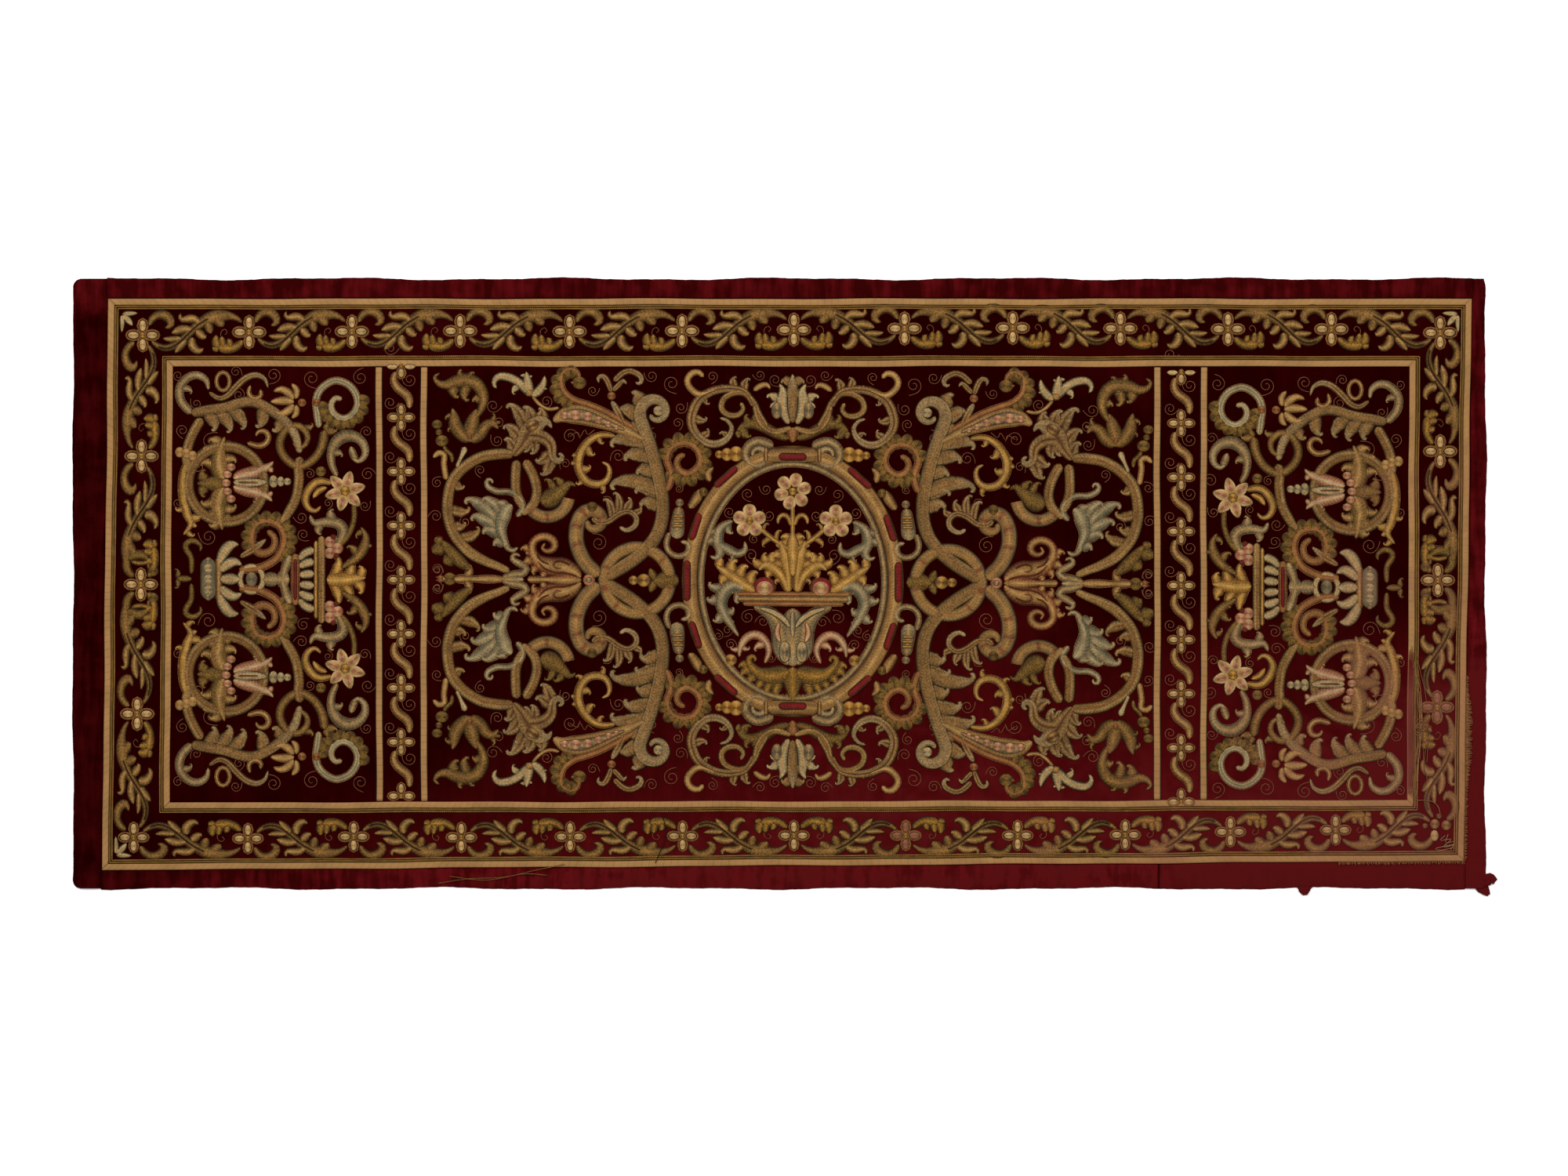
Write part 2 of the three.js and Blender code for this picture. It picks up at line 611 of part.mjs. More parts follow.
const BOUQUET = [
  { part: "stem", width: 7, path: [[4, 30], [4, 90], [4, 150]] },
  { part: "left branch", width: 7, path: [[2, 60], [-30, 84], [-66, 108]] },
  { part: "side leaf", width: 16, path: [[-44, 0], [-76, 8], [-114, 30]] },
  { part: "grey leaf", width: 16, path: [[-76, -18], [-106, -16], [-110, -44], [-86, -76]] },
];
{
  const half = [
    ...BOUQUET.flatMap((row) => stroke(row)),
    ...star([-67, 108], 5, 28, 17), round([-42, 0], 19, 19, 8),
  ];
  const blocks = [
    ...half, ...mirrored(half, true, false), ...turned(URN, AXIS.x, "y"), ...star([4, 157], 6, 30, 15),
  ];
  sewn("medallion_urn", blocks, COLOUR.gold);
}

// Crests above and below the medallion
const CREST = [
  { part: "C scroll", width: 12,
    path: [[-66, 296], [-84, 322], [-112, 326], [-146, 310], [-162, 276], [-150, 246], [-122, 235]],
    curl: [22, 0.4, 1] },
  { part: "volute", width: 12,
    path: [[4, 262], [-22, 254], [-42, 264], [-56, 292]], curl: [22, 0.6, 1] },
];
const CREST_LEAF = [[240, 7], [262, 14], [318, 16], [348, 4]];
for (const [name, flipY] of [["top", false], ["bottom", true]]) {
  const half = CREST.flatMap((row) => stroke(row));
  const blocks = [...half, ...mirrored(half, true, false), ...turned(CREST_LEAF, AXIS.x, "y")];
  sewn(`crest_${name}`, mirrored(blocks, false, flipY), COLOUR.olive);
}

// End panels, left one, mirrored about the cloth's middle
const END_AXIS = { x: -2, y: 6 };
const END_URN = [
  [-986, 14], [-972, 14], [-971, 30], [-936, 34], [-934, 14], [-920, 30], [-870, 30], [-866, 12],
  [-824, 30], [-822, 38], [-806, 38], [-804, 60], [-782, 64], [-780, 73], [-764, 73], [-762, 50],
  [-740, 20], [-692, 6],
];
const END_HALF = [
  { part: "foot leaf", width: 10, path: [[-980, 14], [-984, 40], [-992, 58]], curl: [12, 0.5, -1] },
  { part: "fan leaf", width: 18, head: 0.7, path: [[-940, 30], [-932, 50], [-914, 70]] },
];
const END_QUARTER = [
  { name: "end_scroll", colour: "tan", strokes: [
    { part: "arch", width: 16,
      path: [[-984, 276], [-930, 290], [-878, 296], [-838, 276], [-814, 236], [-806, 200]] },
    { part: "corner curl", width: 14,
      path: [[-980, 276], [-1000, 296], [-1002, 322]], curl: [24, 0.7, -1] },
    { part: "band", width: 17,
      path: [[-976, 274], [-996, 232], [-1001, 190], [-998, 150], [-986, 112], [-994, 82]] },
    { part: "grey stroke", width: 15, path: [[-806, 204], [-810, 156], [-836, 118]] },
    { part: "ribbon loop", width: 13,
      path: [[-770, 252], [-771, 224], [-786, 200]], curl: [31, 0.7, -1] },
    { part: "stem", width: 10, path: [[-772, 246], [-778, 276], [-779, 302]], curl: [36, 0.8, -1] },
    { part: "volute", width: 18, path: [[-836, 118], [-830, 96], [-826, 76]], curl: [31, 0.6, -1] },
  ],
  ring: { centre: [-928, 162], radius: 62, width: 14 },
  bud: { centre: [-920, 162], rx: 52, ry: 22, count: 8 } },
  { name: "end_star", colour: "pink", strokes: [
    { part: "C scroll", width: 11,
      path: [[-742, 172], [-754, 200], [-748, 230], [-726, 243]], curl: [20, 0.6, -1] },
    { part: "stem", width: 8, path: [[-722, 132], [-716, 108], [-724, 84], [-742, 64]] },
    { part: "comma", width: 10,
      path: [[-752, 164], [-780, 166], [-796, 144], [-792, 122]], curl: [8, 0.4, 1] },
    { part: "leaf", width: 16, head: 0.4, path: [[-742, 62], [-724, 50], [-702, 64], [-700, 88]] },
  ],
  petals: { centre: [-732, 152], count: 6, reach: 34, across: 16 } },
];
for (const [name, flipX] of [["left", false], ["right", true]]) {
  const half = END_HALF.flatMap((row) => stroke(row));
  const blocks = [...half, ...mirrored(half, false, true, END_AXIS), ...turned(END_URN, END_AXIS.y)];
  sewn(`end_urn_${name}`, mirrored(blocks, flipX, false, END_AXIS), COLOUR.ivory);
}
for (const node of END_QUARTER) {
  const blocks = node.strokes.flatMap((row) => stroke(row));
  const { ring, petals, bud } = node;
  if (ring) blocks.push(...hoop(ring.centre, ring.radius, ring.radius, ring.width));
  if (petals) blocks.push(...star(petals.centre, petals.count, petals.reach, petals.across));
  if (bud) blocks.push(round(bud.centre, bud.rx, bud.ry, bud.count));
  for (const [side, flipX] of [["left", false], ["right", true]]) {
    for (const [end, flipY] of [["upper", false], ["lower", true]]) {
      const half = mirrored(blocks, false, flipY, END_AXIS);
      sewn(`${node.name}_${side}_${end}`, mirrored(half, flipX, false, END_AXIS), COLOUR[node.colour]);
    }
  }
}

export default cloth;
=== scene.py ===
"""An embroidered velvet table cover, laid flat: velvet, silk braid, couched cords and silk motifs.

Lengths in the tables are millimetres in the embroidery's own frame. Every motif is laid out once, for
a quarter or a half of the cloth, and mirrored onto its places.
"""

from collections import namedtuple

import bpy
import numpy as np
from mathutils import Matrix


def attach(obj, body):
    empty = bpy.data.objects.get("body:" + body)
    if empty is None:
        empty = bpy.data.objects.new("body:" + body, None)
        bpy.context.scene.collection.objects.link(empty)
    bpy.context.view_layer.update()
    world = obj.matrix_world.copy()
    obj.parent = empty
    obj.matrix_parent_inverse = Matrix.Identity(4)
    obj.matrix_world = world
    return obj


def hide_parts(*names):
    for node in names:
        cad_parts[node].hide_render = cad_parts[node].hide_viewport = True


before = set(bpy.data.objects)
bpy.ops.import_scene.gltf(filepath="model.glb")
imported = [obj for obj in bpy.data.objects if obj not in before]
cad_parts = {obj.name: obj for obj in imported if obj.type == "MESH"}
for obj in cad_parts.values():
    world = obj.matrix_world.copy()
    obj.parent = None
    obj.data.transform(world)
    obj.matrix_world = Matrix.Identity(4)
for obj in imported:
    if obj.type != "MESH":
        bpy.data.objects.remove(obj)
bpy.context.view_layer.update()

bl_info = {
    "name": "Embroidered velvet cloth",
    "version": (1, 0, 0),
    "blender": (4, 5, 0),
    "location": "View3D > Sidebar > Cloth",
    "description": "Builds a long velvet table cover with silk braid and silk embroidery",
    "category": "Add Mesh",
}

# Sizes shared with the solids, in millimetres
SHIFT = np.array([9.7, 5.8])
CLOTH = {"left": -1180.0, "right": 1144.0, "top": 503.0, "bottom": -500.0, "corner": 14.0}
SEAM = {"top_left": -1124.0, "bottom_left": -1134.0, "top_right": 1123.0, "bottom_right": 1110.0}
FRAME_OUT = {"left": (-1122, -1132), "right": (1121, 1108), "top": (470, 470), "bottom": (-470, -455)}
FRAME_IN = {"left": (-1033, -1038), "right": (1036, 1032), "top": (376, 376), "bottom": (-376, -372)}
# About how long a frame's sides are, for the number of their points
LONG_SIDE = 2240
SHORT_SIDE = 930
BAND_WIDTH = 10.5
DARK_CORD = 3.6
FINE_CORD = 2.4
CORD_GAP = 0.5
FRAME_DEPTH = BAND_WIDTH + DARK_CORD + FINE_CORD + 2 * CORD_GAP
BARS = (-676.0, -602.5, 603.5, 680.0)
BAR_WIDTH = 11.0
AXIS = (4.0, 9.0)
END_AXIS = (-2.0, 6.0)
TILT_RISE = 5.0
TILT = -0.0075
# Flowers of the border, with the corner ones in the long rows
VINES = {
    "top": [(-1065, 410), (-890, 415), (-721, 416), (-543, 417), (-363, 416), (-178, 417), (6, 419),
            (188, 421), (366, 422), (543, 421), (720, 420), (890, 420), (1069, 414)],
    "bottom": [(-1080, -416), (-892, -418), (-718, -415), (-541, -416), (-362, -415), (-177, -414),
               (6, -413), (190, -413), (374, -413), (551, -412), (724, -407), (897, -404), (1066, -399)],
    "left": [(-1067, 211), (-1068, 0), (-1074, -213)],
    "right": [(1069, 219), (1065, 7), (1064, -202)],
}
# The two of them that have lost their ivory silk
FADED = ((190, -413), (1064, -202))
# Flower columns: the x of each, the y of their middle flower, pitch and ends, and their flowers' size
COLUMNS = (("left", -640), ("right", 643))
COLUMN_MIDDLE = 7
COLUMN_PITCH = 89
COLUMN_HEAD = 363
COLUMN_FOOT = -349
COLUMN_FLOWER = 0.82
# How much narrower the vines of the short sides are
SIDE_SQUEEZE = 0.86


# Settings that a user would change


class VelvetSettings(bpy.types.PropertyGroup):
    """Sizes and colours of the velvet."""

    height: bpy.props.FloatProperty(
        name="Height", description="Thickness of the velvet and its pile", default=0.0022, unit="LENGTH"
    )
    wave: bpy.props.FloatProperty(
        name="Wave", description="Rise and fall of the velvet where it puckers", default=0.0005, unit="LENGTH"
    )
    cell: bpy.props.FloatProperty(
        name="Mesh cell", description="Size of a cell of the velvet's mesh", default=0.0080, unit="LENGTH"
    )
    deep: bpy.props.FloatVectorProperty(
        name="Deep pile", description="Colour looking into the pile", subtype="COLOR",
        default=(0.0098, 0.0, 0.0),
    )
    # Painted sheen: the colour of leaning pile where it catches the light, also used for the real red of worn
    # pile
    bright: bpy.props.FloatVectorProperty(
        name="Brushed pile", description="Colour where the pile leans", subtype="COLOR",
        default=(0.082, 0.0036, 0.0046),
    )
    worn: bpy.props.FloatVectorProperty(
        name="Worn ground", description="Colour of the ground weave", subtype="COLOR",
        default=(0.070, 0.0048, 0.0050),
    )
    backing: bpy.props.FloatVectorProperty(
        name="Back", description="Colour of the cloth's underside", subtype="COLOR",
        default=(0.050, 0.010, 0.008),
    )


class SilkSettings(bpy.types.PropertyGroup):
    """Heights of the silk work, and the fineness of its mesh."""

    crown: bpy.props.FloatProperty(
        name="Crown", description="Height of the widest silk strokes", default=0.0013, unit="LENGTH"
    )
    outline: bpy.props.FloatProperty(
        name="Outline cord", description="Radius of the couched outline cord", default=0.00085, unit="LENGTH"
    )
    tendril: bpy.props.FloatProperty(
        name="Tendril cord", description="Radius of the thin spirals' cord", default=0.00072, unit="LENGTH"
    )
    step: bpy.props.FloatProperty(
        name="Step", description="Length of one mesh step along a stroke", default=0.0052, unit="LENGTH"
    )


class StageSettings(bpy.types.PropertyGroup):
    """Camera and lights."""

    lens: bpy.props.FloatProperty(
        name="Lens", description="Focal length of the camera", default=100.0, unit="CAMERA"
    )
    width: bpy.props.FloatProperty(
        name="View width", description="Width of floor that the camera sees", default=2.58, unit="LENGTH"
    )
    key: bpy.props.FloatProperty(
        name="Main light", description="Power of the large soft light", default=150.0, unit="POWER"
    )
    fill: bpy.props.FloatProperty(
        name="Fill light", description="Brightness of the light from all round", default=0.62
    )


# Dyes of the silks, as display colours in 0 to 255
DYES = {
    "braid": (140, 103, 61), "tan": (126, 88, 43), "cream": (150, 113, 62), "white": (156, 134, 94),
    "ivory": (172, 138, 90), "olive": (106, 77, 28), "moss": (66, 46, 14), "gold": (142, 98, 30),
    "amber": (92, 54, 16), "orange": (134, 80, 40), "rust": (86, 38, 18), "pink": (158, 100, 70),
    "rose": (128, 80, 52), "grey": (114, 94, 62), "slate": (82, 74, 54), "teal": (86, 88, 64),
    "dark": (34, 18, 8), "brown": (64, 36, 14), "red": (100, 16, 16), "cord": (118, 80, 44),
    "straw": (164, 124, 64), "mauve": (118, 70, 54), "wine": (78, 4, 10),
}


def linear(name):
    """A dye in linear light: the display colour raised by the usual curve."""
    c = np.array(DYES[name]) / 255.0
    return np.where(c <= 0.04045, c / 12.92, ((c + 0.055) / 1.055) ** 2.4)


# A silk: dyes across a stroke from its left to its right, the dye its tip turns to, its outline cord,
# how strongly it is speckled with dark stitches, and the spacing of its cross ticks (0 for none)
Silk = namedtuple("Silk", "across tip cord speckle ticks", defaults=("cord", 0.0, 0))
SILKS = {
    "striped": Silk(("grey", "olive", "cream", "tan", "brown", "tan", "tan", "olive"), "cream", "moss", 0.4),
    "acanthus": Silk(
        ("slate", "olive", "tan", "cream", "brown", "tan", "cream", "grey"), "white", "moss", 0.45
    ),
    "leaf": Silk(("brown", "tan", "cream", "brown", "tan", "cream", "grey"), "white", "brown", 0.4),
    "olive": Silk(("moss", "olive", "olive", "olive", "moss"), "olive", "brown", 0.6),
    "vine": Silk(("moss", "olive", "tan", "olive", "moss"), "tan", "brown", 0.5),
    "lobe": Silk(("olive", "tan", "cream", "olive", "moss"), "tan", "brown", 0.35),
    "fan": Silk(("moss", "olive", "gold", "olive", "moss"), "gold", "brown", 0.5),
    "tan": Silk(("brown", "tan", "cream", "tan", "brown"), "cream", "cord", 0.3),
    "cream": Silk(("tan", "cream", "cream", "tan"), "cream", "cord", 0.1),
    "white": Silk(("grey", "white", "cream", "white", "slate"), "white", "moss", 0.25),
    "teal": Silk(("slate", "grey", "white", "grey", "teal", "slate"), "white", "cord", 0.3),
    "grey": Silk(("slate", "grey", "cream", "grey", "slate"), "white", "cord", 0.35),
    "gold": Silk(("moss", "gold", "straw", "amber"), "straw", "cord", 0.25),
    "flame": Silk(("amber", "gold", "straw", "gold", "amber"), "straw", "cord", 0.1),
    "orange": Silk(("rust", "orange", "tan", "orange", "rust"), "tan", "cord", 0.25),
    "pink": Silk(("rose", "pink", "white", "pink", "rose"), "white", "cord", 0.1),
    "shell": Silk(("cord", "white", "teal", "white", "cord"), "white", "cord", 0.1),
    "ring": Silk(("slate", "tan", "cream", "tan", "cream", "tan", "olive"), "tan", "moss", 0.2, 36),
    "ticked": Silk(("slate", "tan", "tan", "cream", "tan", "slate"), "tan", "moss", 0.25, 30),
    "palm": Silk(("rust", "tan", "cream", "orange", "rust"), "tan", "rust", 0.25),
    "vein": Silk(("rust", "brown", "rust"), "rust", "rust", 0.0),
    "mauve": Silk(("mauve", "rose", "mauve"), "mauve", "cord", 0.1),
    "strap": Silk(("tan", "tan", "cream", "tan", "brown"), "tan", "moss", 0.2),
    "stitch": Silk(("cord", "tan", "cord"), "cord", "orange"),
    "red": Silk(("red", "red", "rust"), "red", "moss", 0.0),
    "ivory": Silk(("cream", "ivory", "ivory", "cream"), "ivory", "dark", 0.05),
    "slate": Silk(("slate", "grey", "slate"), "slate", "moss", 0.2),
    "moss": Silk(("moss", "olive", "moss"), "moss", "moss", 0.4),
    "rose": Silk(("rose", "pink", "rose"), "rose", "cord", 0.0),
    "line": Silk(("dark", "brown", "dark"), "brown", "dark", 0.0),
    "brown dot": Silk(("brown", "cord", "brown"), "brown", "dark", 0.0),
}

# Rows of the motif tables.
# Stroke: path points are (x, y) or (x, y, width); curl is (radius, turns, +1 left or -1 right);
# tips are the points of leaflets that grow from it, leaf is their width, and hook curls them over;
# head and tail are shares of the width that its two ends keep.
Stroke = namedtuple(
    "Stroke", "silk path width curl tips leaf head tail hook lift",
    defaults=(10, None, (), 13, 0.8, 0.6, 1, 0),
)
# Dots: small padded ovals of one size at several spots, turned by some degrees; point narrows their far end
Dots = namedtuple("Dots", "silk rx ry spots turn lift point", defaults=(0, 0, 0))
# Hoop: a band round an oval from one angle to another, in degrees
Hoop = namedtuple("Hoop", "silk centre rx ry width start end", defaults=(0, 360))
# Thread: thin couched cord, along paths or round spirals at (x, y, radius); lift makes it a loose one
Thread = namedtuple("Thread", "spirals paths dye lift", defaults=((), "rose", 0))


# Lines


def arc_lengths(line):
    """The distance along a line of each of its points, from 0."""
    gaps = np.hypot(*np.diff(line[:, :2], axis=0).T)
    return np.concatenate([[0.0], np.cumsum(gaps)])


def even(line, step):
    """The same line in even steps: its coordinates read off at equal arc lengths."""
    along = arc_lengths(line)
    count = max(3, int(np.ceil(along[-1] / step)))
    s = np.linspace(0.0, along[-1], count + 1)
    return np.column_stack([np.interp(s, along, column) for column in line.T])


def smooth(points, step):
    """A line through the points: cubic weights mix the four nearest, and the last column is a width."""
    p = np.asarray(points, float)
    ends = np.vstack([2 * p[0] - p[1], p, 2 * p[-1] - p[-2]])
    a, b, c, d = ends[:-3, None], ends[1:-2, None], ends[2:-1, None], ends[3:, None]
    t = np.linspace(0, 1, 12, endpoint=False)[None, :, None]
    curve = 0.5 * (2 * b + (c - a) * t + (2 * a - 5 * b + 4 * c - d) * t**2 + (3 * b - a - 3 * c + d) * t**3)
    return even(np.vstack([curve.reshape(-1, p.shape[1]), p[-1]]), step)


def headings(line, closed=False):
    """Unit tangents and left normals of a line, from the points on either side of each."""
    ahead = np.roll(line, -1, axis=0)
    behind = np.roll(line, 1, axis=0)
    if not closed:
        ahead[-1] = line[-1]
        behind[0] = line[0]
    d = (ahead - behind)[:, :2]
    d = d / np.maximum(np.hypot(d[:, 0], d[:, 1]), 1e-9)[:, None]
    return d, np.column_stack([-d[:, 1], d[:, 0]])


def curled(line, curl, step):
    """The line carried on into a spiral whose radius shrinks by two thirds, its width by nearly half."""
    radius, turns, hand = curl
    d = line[-1, :2] - line[-2, :2]
    d = d / np.hypot(*d)
    n = np.array([-d[1], d[0]]) * hand
    whole = turns * 2 * np.pi
    a = np.linspace(0, whole, max(4, int(whole * radius * 0.75 / step)))[1:, None]
    r = radius * (1 - 0.66 * a / whole)
    points = line[-1, :2] + n * (radius - r * np.cos(a)) + d * r * np.sin(a)
    width = line[-1, 2] * (1 - 0.45 * a / whole)
    return even(np.vstack([line, np.hstack([points, width])]), step)


def noise(s, seed):
    """A smooth unevenness between about -1 and 1: three sine waves of unlike lengths."""
    return 0.5 * np.sin(s + seed) + 0.3 * np.sin(2.3 * s + 1.7 * seed) + 0.2 * np.sin(4.1 * s + 2.9 * seed)


def ripple(s, phase):
    """The unevenness of the cloth's long edges: a long sine wave and a short one."""
    return 0.65 * np.sin(s / 67 + phase) + 0.35 * np.sin(s / 29 + 2.3 * phase)


def pucker(x, y):
    """How the velvet rises and falls, from -1 to 1, in millimetres of x and y: crossed sine waves."""
    slow = np.sin(x / 61 + 1.3 * np.sin(y / 83)) * np.sin(y / 47 + 0.9 * np.sin(x / 97))
    return 0.6 * slow + 0.4 * np.sin(x / 23 + y / 31 + 2 * np.sin(x / 71)) * np.sin(y / 19 - x / 53)


# Surfaces: a grid of points, the thread's coordinates along and across it, the points' tints, and
# whether the rows and the columns wrap round
Surface = namedtuple("Surface", "grid u v tint wrap")


class Sewing:
    """Collects surfaces and makes one mesh of them."""

    def __init__(self):
        self.points = []
        self.tints = []
        self.corners = []
        self.sizes = []
        self.uvs = []
        self.flat = []
        self.count = 0

    def add(self, surface, place):
        """Takes a grid of points in millimetres. Its faces are the quads between rows and columns, and
        capped ends where only the columns wrap round. They are turned to point outwards."""
        rows, columns = surface.grid.shape[:2]
        wrap_u, wrap_v = surface.wrap
        grid = place(surface.grid.reshape(-1, 3))
        i, j = np.meshgrid(
            np.arange(rows - (not wrap_u)), np.arange(columns - (not wrap_v)), indexing="ij"
        )
        i, j = i.ravel(), j.ravel()
        i2, j2 = (i + 1) % rows, (j + 1) % columns
        quads = np.stack([i * columns + j, i * columns + j2, i2 * columns + j2, i2 * columns + j], axis=1)
        u = np.stack([surface.u[i], surface.u[i], surface.u[i + 1], surface.u[i + 1]], axis=1)
        v = np.stack([surface.v[j], surface.v[j + 1], surface.v[j + 1], surface.v[j]], axis=1)
        rings = []
        if wrap_v and not wrap_u:
            ring = np.arange(columns)
            rings = [ring[::-1], ring + (rows - 1) * columns]
        a, b, c, d = (grid[quads[:, k]] for k in range(4))
        volume = (a * np.cross(b, c)).sum() + (a * np.cross(c, d)).sum()
        for ring in rings:
            first, rest = grid[ring[0]], grid[ring[1:]]
            volume += (first * np.cross(rest[:-1], rest[1:])).sum()
        turn = -1 if volume < 0 else 1
        self.points.append(grid)
        self.tints.append(surface.tint.reshape(-1, 4))
        self.corners.append((quads[:, ::turn] + self.count).ravel())
        self.uvs.append(np.stack([u[:, ::turn], v[:, ::turn]], axis=-1).reshape(-1, 2))
        self.sizes.append(np.full(len(quads), 4))
        for ring, end in zip(rings, surface.u[[0, -1]]):
            self.corners.append(ring[::turn] + self.count)
            self.uvs.append(np.column_stack([np.full(columns, end), surface.v[ring % columns]])[::turn])
            self.sizes.append(np.array([columns]))
        self.flat.append(np.zeros(len(quads) + len(rings), bool))
        self.count += len(grid)

    def add_sheet(self, grid, ring, edge, place):
        """Takes an open grid as the upper face, closed by a flat underside round the same ring of edge
        points."""
        rows, columns = grid.shape[:2]
        top = place(grid.reshape(-1, 3))
        under = place(edge)
        self.points += [top, under]
        points = len(top) + len(under)
        self.tints.append(plain((points,), "red"))
        i, j = np.meshgrid(np.arange(rows - 1), np.arange(columns - 1), indexing="ij")
        corner = (i * columns + j).ravel()
        quads = np.stack([corner, corner + columns, corner + columns + 1, corner + 1], axis=1)
        low = np.arange(len(ring)) + len(top)
        sides = np.stack([ring, np.roll(ring, -1), np.roll(low, -1), low], axis=1)
        self.corners += [quads.ravel(), sides.ravel(), low]
        self.sizes += [np.full(len(quads) + len(sides), 4), np.array([len(low)])]
        self.uvs += [top[quads.ravel(), :2], np.vstack([top, under])[sides.ravel(), :2], under[:, :2]]
        self.flat.append(np.concatenate([np.zeros(len(quads), bool), np.ones(len(sides) + 1, bool)]))
        self.count += points

    def finish(self, node, look):
        """Makes the object, in metres, hides the imported part of that node and hangs the object under the
        root body.
        """
        name = f"sewn_{node}"
        mesh = bpy.data.meshes.new(name)
        points = np.vstack(self.points) / 1000.0
        corners = np.concatenate(self.corners).astype(np.int32)
        sizes = np.concatenate(self.sizes).astype(np.int32)
        starts = np.concatenate([[0], np.cumsum(sizes)[:-1]]).astype(np.int32)
        mesh.vertices.add(len(points))
        mesh.vertices.foreach_set("co", points.ravel())
        mesh.loops.add(len(corners))
        mesh.loops.foreach_set("vertex_index", corners)
        mesh.polygons.add(len(sizes))
        mesh.polygons.foreach_set("loop_start", starts)
        mesh.polygons.foreach_set("use_smooth", ~np.concatenate(self.flat))
        mesh.update(calc_edges=True)
        uv = mesh.uv_layers.new(name="thread")
        uv.data.foreach_set("uv", (np.vstack(self.uvs) / 1000.0).ravel())
        tint = mesh.color_attributes.new("tint", "FLOAT_COLOR", "POINT")
        tint.data.foreach_set("color", np.vstack(self.tints).ravel())
        mesh.validate()
        mesh.materials.append(look)
        piece = bpy.data.objects.new(name, mesh)
        bpy.context.scene.collection.objects.link(piece)
        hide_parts(node)
        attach(piece, "root")
        return piece


def sew(node, groups, look):
    """One piece from groups of (surfaces, places)."""
    sewing = Sewing()
    for surfaces, places in groups:
        for place in places:
            for surface in surfaces:
                sewing.add(surface, place)
    return sewing.finish(node, look)


# Places


def ground(x, y):
    """Height of the velvet's face over the floor, in millimetres, at points of the design frame."""
    velvet = bpy.context.scene.cloth_velvet
    return 1000 * (velvet.height + velvet.wave * pucker(x, y))


def shifted(grid):
    """Moves points from the embroidery's frame to the cloth's, at their own heights."""
    out = grid.copy()
    out[:, :2] += SHIFT
    return out


def laid(grid):
    """Sets points on the velvet: z is measured from its face. Then the whole design is shifted."""
    out = grid.copy()
    out[:, 2] += ground(grid[:, 0], grid[:, 1])
    return shifted(out)


def placed(flip_x=False, flip_y=False, axis=AXIS):
    """A place for a motif, mirrored about the field's axes, with the design's small tilt."""

    def place(grid):
        out = grid.copy()
        if flip_x:
            out[:, 0] = 2 * axis[0] - out[:, 0]
        if flip_y:
            out[:, 1] = 2 * axis[1] - out[:, 1]
        out[:, 1] += TILT_RISE - AXIS[1] + TILT * out[:, 0]
        return laid(out)

    return place


def moved(move):
    """A place for a motif that has a frame of its own."""
    return lambda grid: laid(np.column_stack([move(grid[:, :2]), grid[:, 2]]))


def at(x, y, scale=(1.0, 1.0)):
    """Moves a motif's own frame to a spot, scaled or mirrored."""
    return moved(lambda p: np.array([x, y]) + p * scale)


VINE_LENGTH = 175.0


def stretch(start, end, flip, squeeze):
    """Carries the vine's own frame, along and across, onto a stretch between two flowers."""
    start, end = np.array(start, float), np.array(end, float)
    length = np.hypot(*(end - start))
    d = (end - start) / length
    n = np.array([-d[1], d[0]]) * squeeze * (-1 if flip else 1)
    return moved(lambda p: start + p[:, :1] * d * (length / VINE_LENGTH) + p[:, 1:] * n)


# Silk work

# How far its underside sinks into the velvet, how high its outline cord lies, and that cord's flecks
SUNK = -0.35
CORD_HEIGHT = 0.7
CORD_FLECKS = 0.5
# Places of a dome's upper columns across it, closest at its rims, and of its two lower ones
DOME_COLUMNS = np.array([-1.0, -0.86, -0.45, 0.0, 0.45, 0.86, 1.0])
DOME_UNDER = np.array([0.97, -0.97])
# Cross ticks: a wide one and a narrow one beside it, and what they leave of red, green and blue
WIDE_TICK = 1.6
NARROW_TICK = 0.9
TICK_GAP = 5.0
TICK_TINT = (0.62, 0.36, 0.42, 1)
# A button's rings from its edge inwards, and how much of its rise each has
BUTTON_RINGS = np.array([0.98, 1.0, 0.9, 0.6, 0.08])
BUTTON_RISE = np.array([0, 0, 0.42, 0.82, 1.0])
BUTTON_BASE = 1.1
# Narrowest oval that gets a cord round it, and narrowest hoop that is padded
CORDED_OVAL = 3.4
PADDED_HOOP = 3
SPIRAL_TURNS = 1.65

Gauge = namedtuple("Gauge", "crown cord thin step")


def gauge():
    """Crown, cord radii and mesh step from the settings, in millimetres."""
    silks = bpy.context.scene.cloth_silk
    return Gauge(*(1000 * value for value in (silks.crown, silks.outline, silks.tendril, silks.step)))


def plain(shape, dye, speckle=0.0):
    """Tints of one dye for a whole grid."""
    return np.broadcast_to(np.append(linear(dye), speckle), (*shape, 4)).copy()


def colours(silk, t, v, seed):
    """Tints of a stroke: dyes mixed across it, turning to the tip's dye along it, with uneven bands and
    painted shade at its rims.
    """
    row = SILKS[silk]
    stops = np.linspace(-1, 1, len(row.across))
    dyes = np.array([linear(dye) for dye in row.across])
    across = np.column_stack([np.interp(v, stops, dyes[:, k]) for k in range(3)])
    turn = np.clip((t - 0.55) / 0.45, 0, 1)[:, None, None] * 0.55
    shade = 1 + 0.14 * noise(9 * t + seed, seed)[:, None, None]
    # Painted shade: the rims darken as if in the crease between the stroke and its cord
    rim_painted_shade = 1 - 0.62 * np.abs(v[None, :, None]) ** 8
    tint = (across[None] * (1 - turn) + linear(row.tip) * turn) * shade * rim_painted_shade
    speckle = np.full(tint.shape[:2] + (1,), row.speckle)
    return np.concatenate([tint, speckle], axis=2)


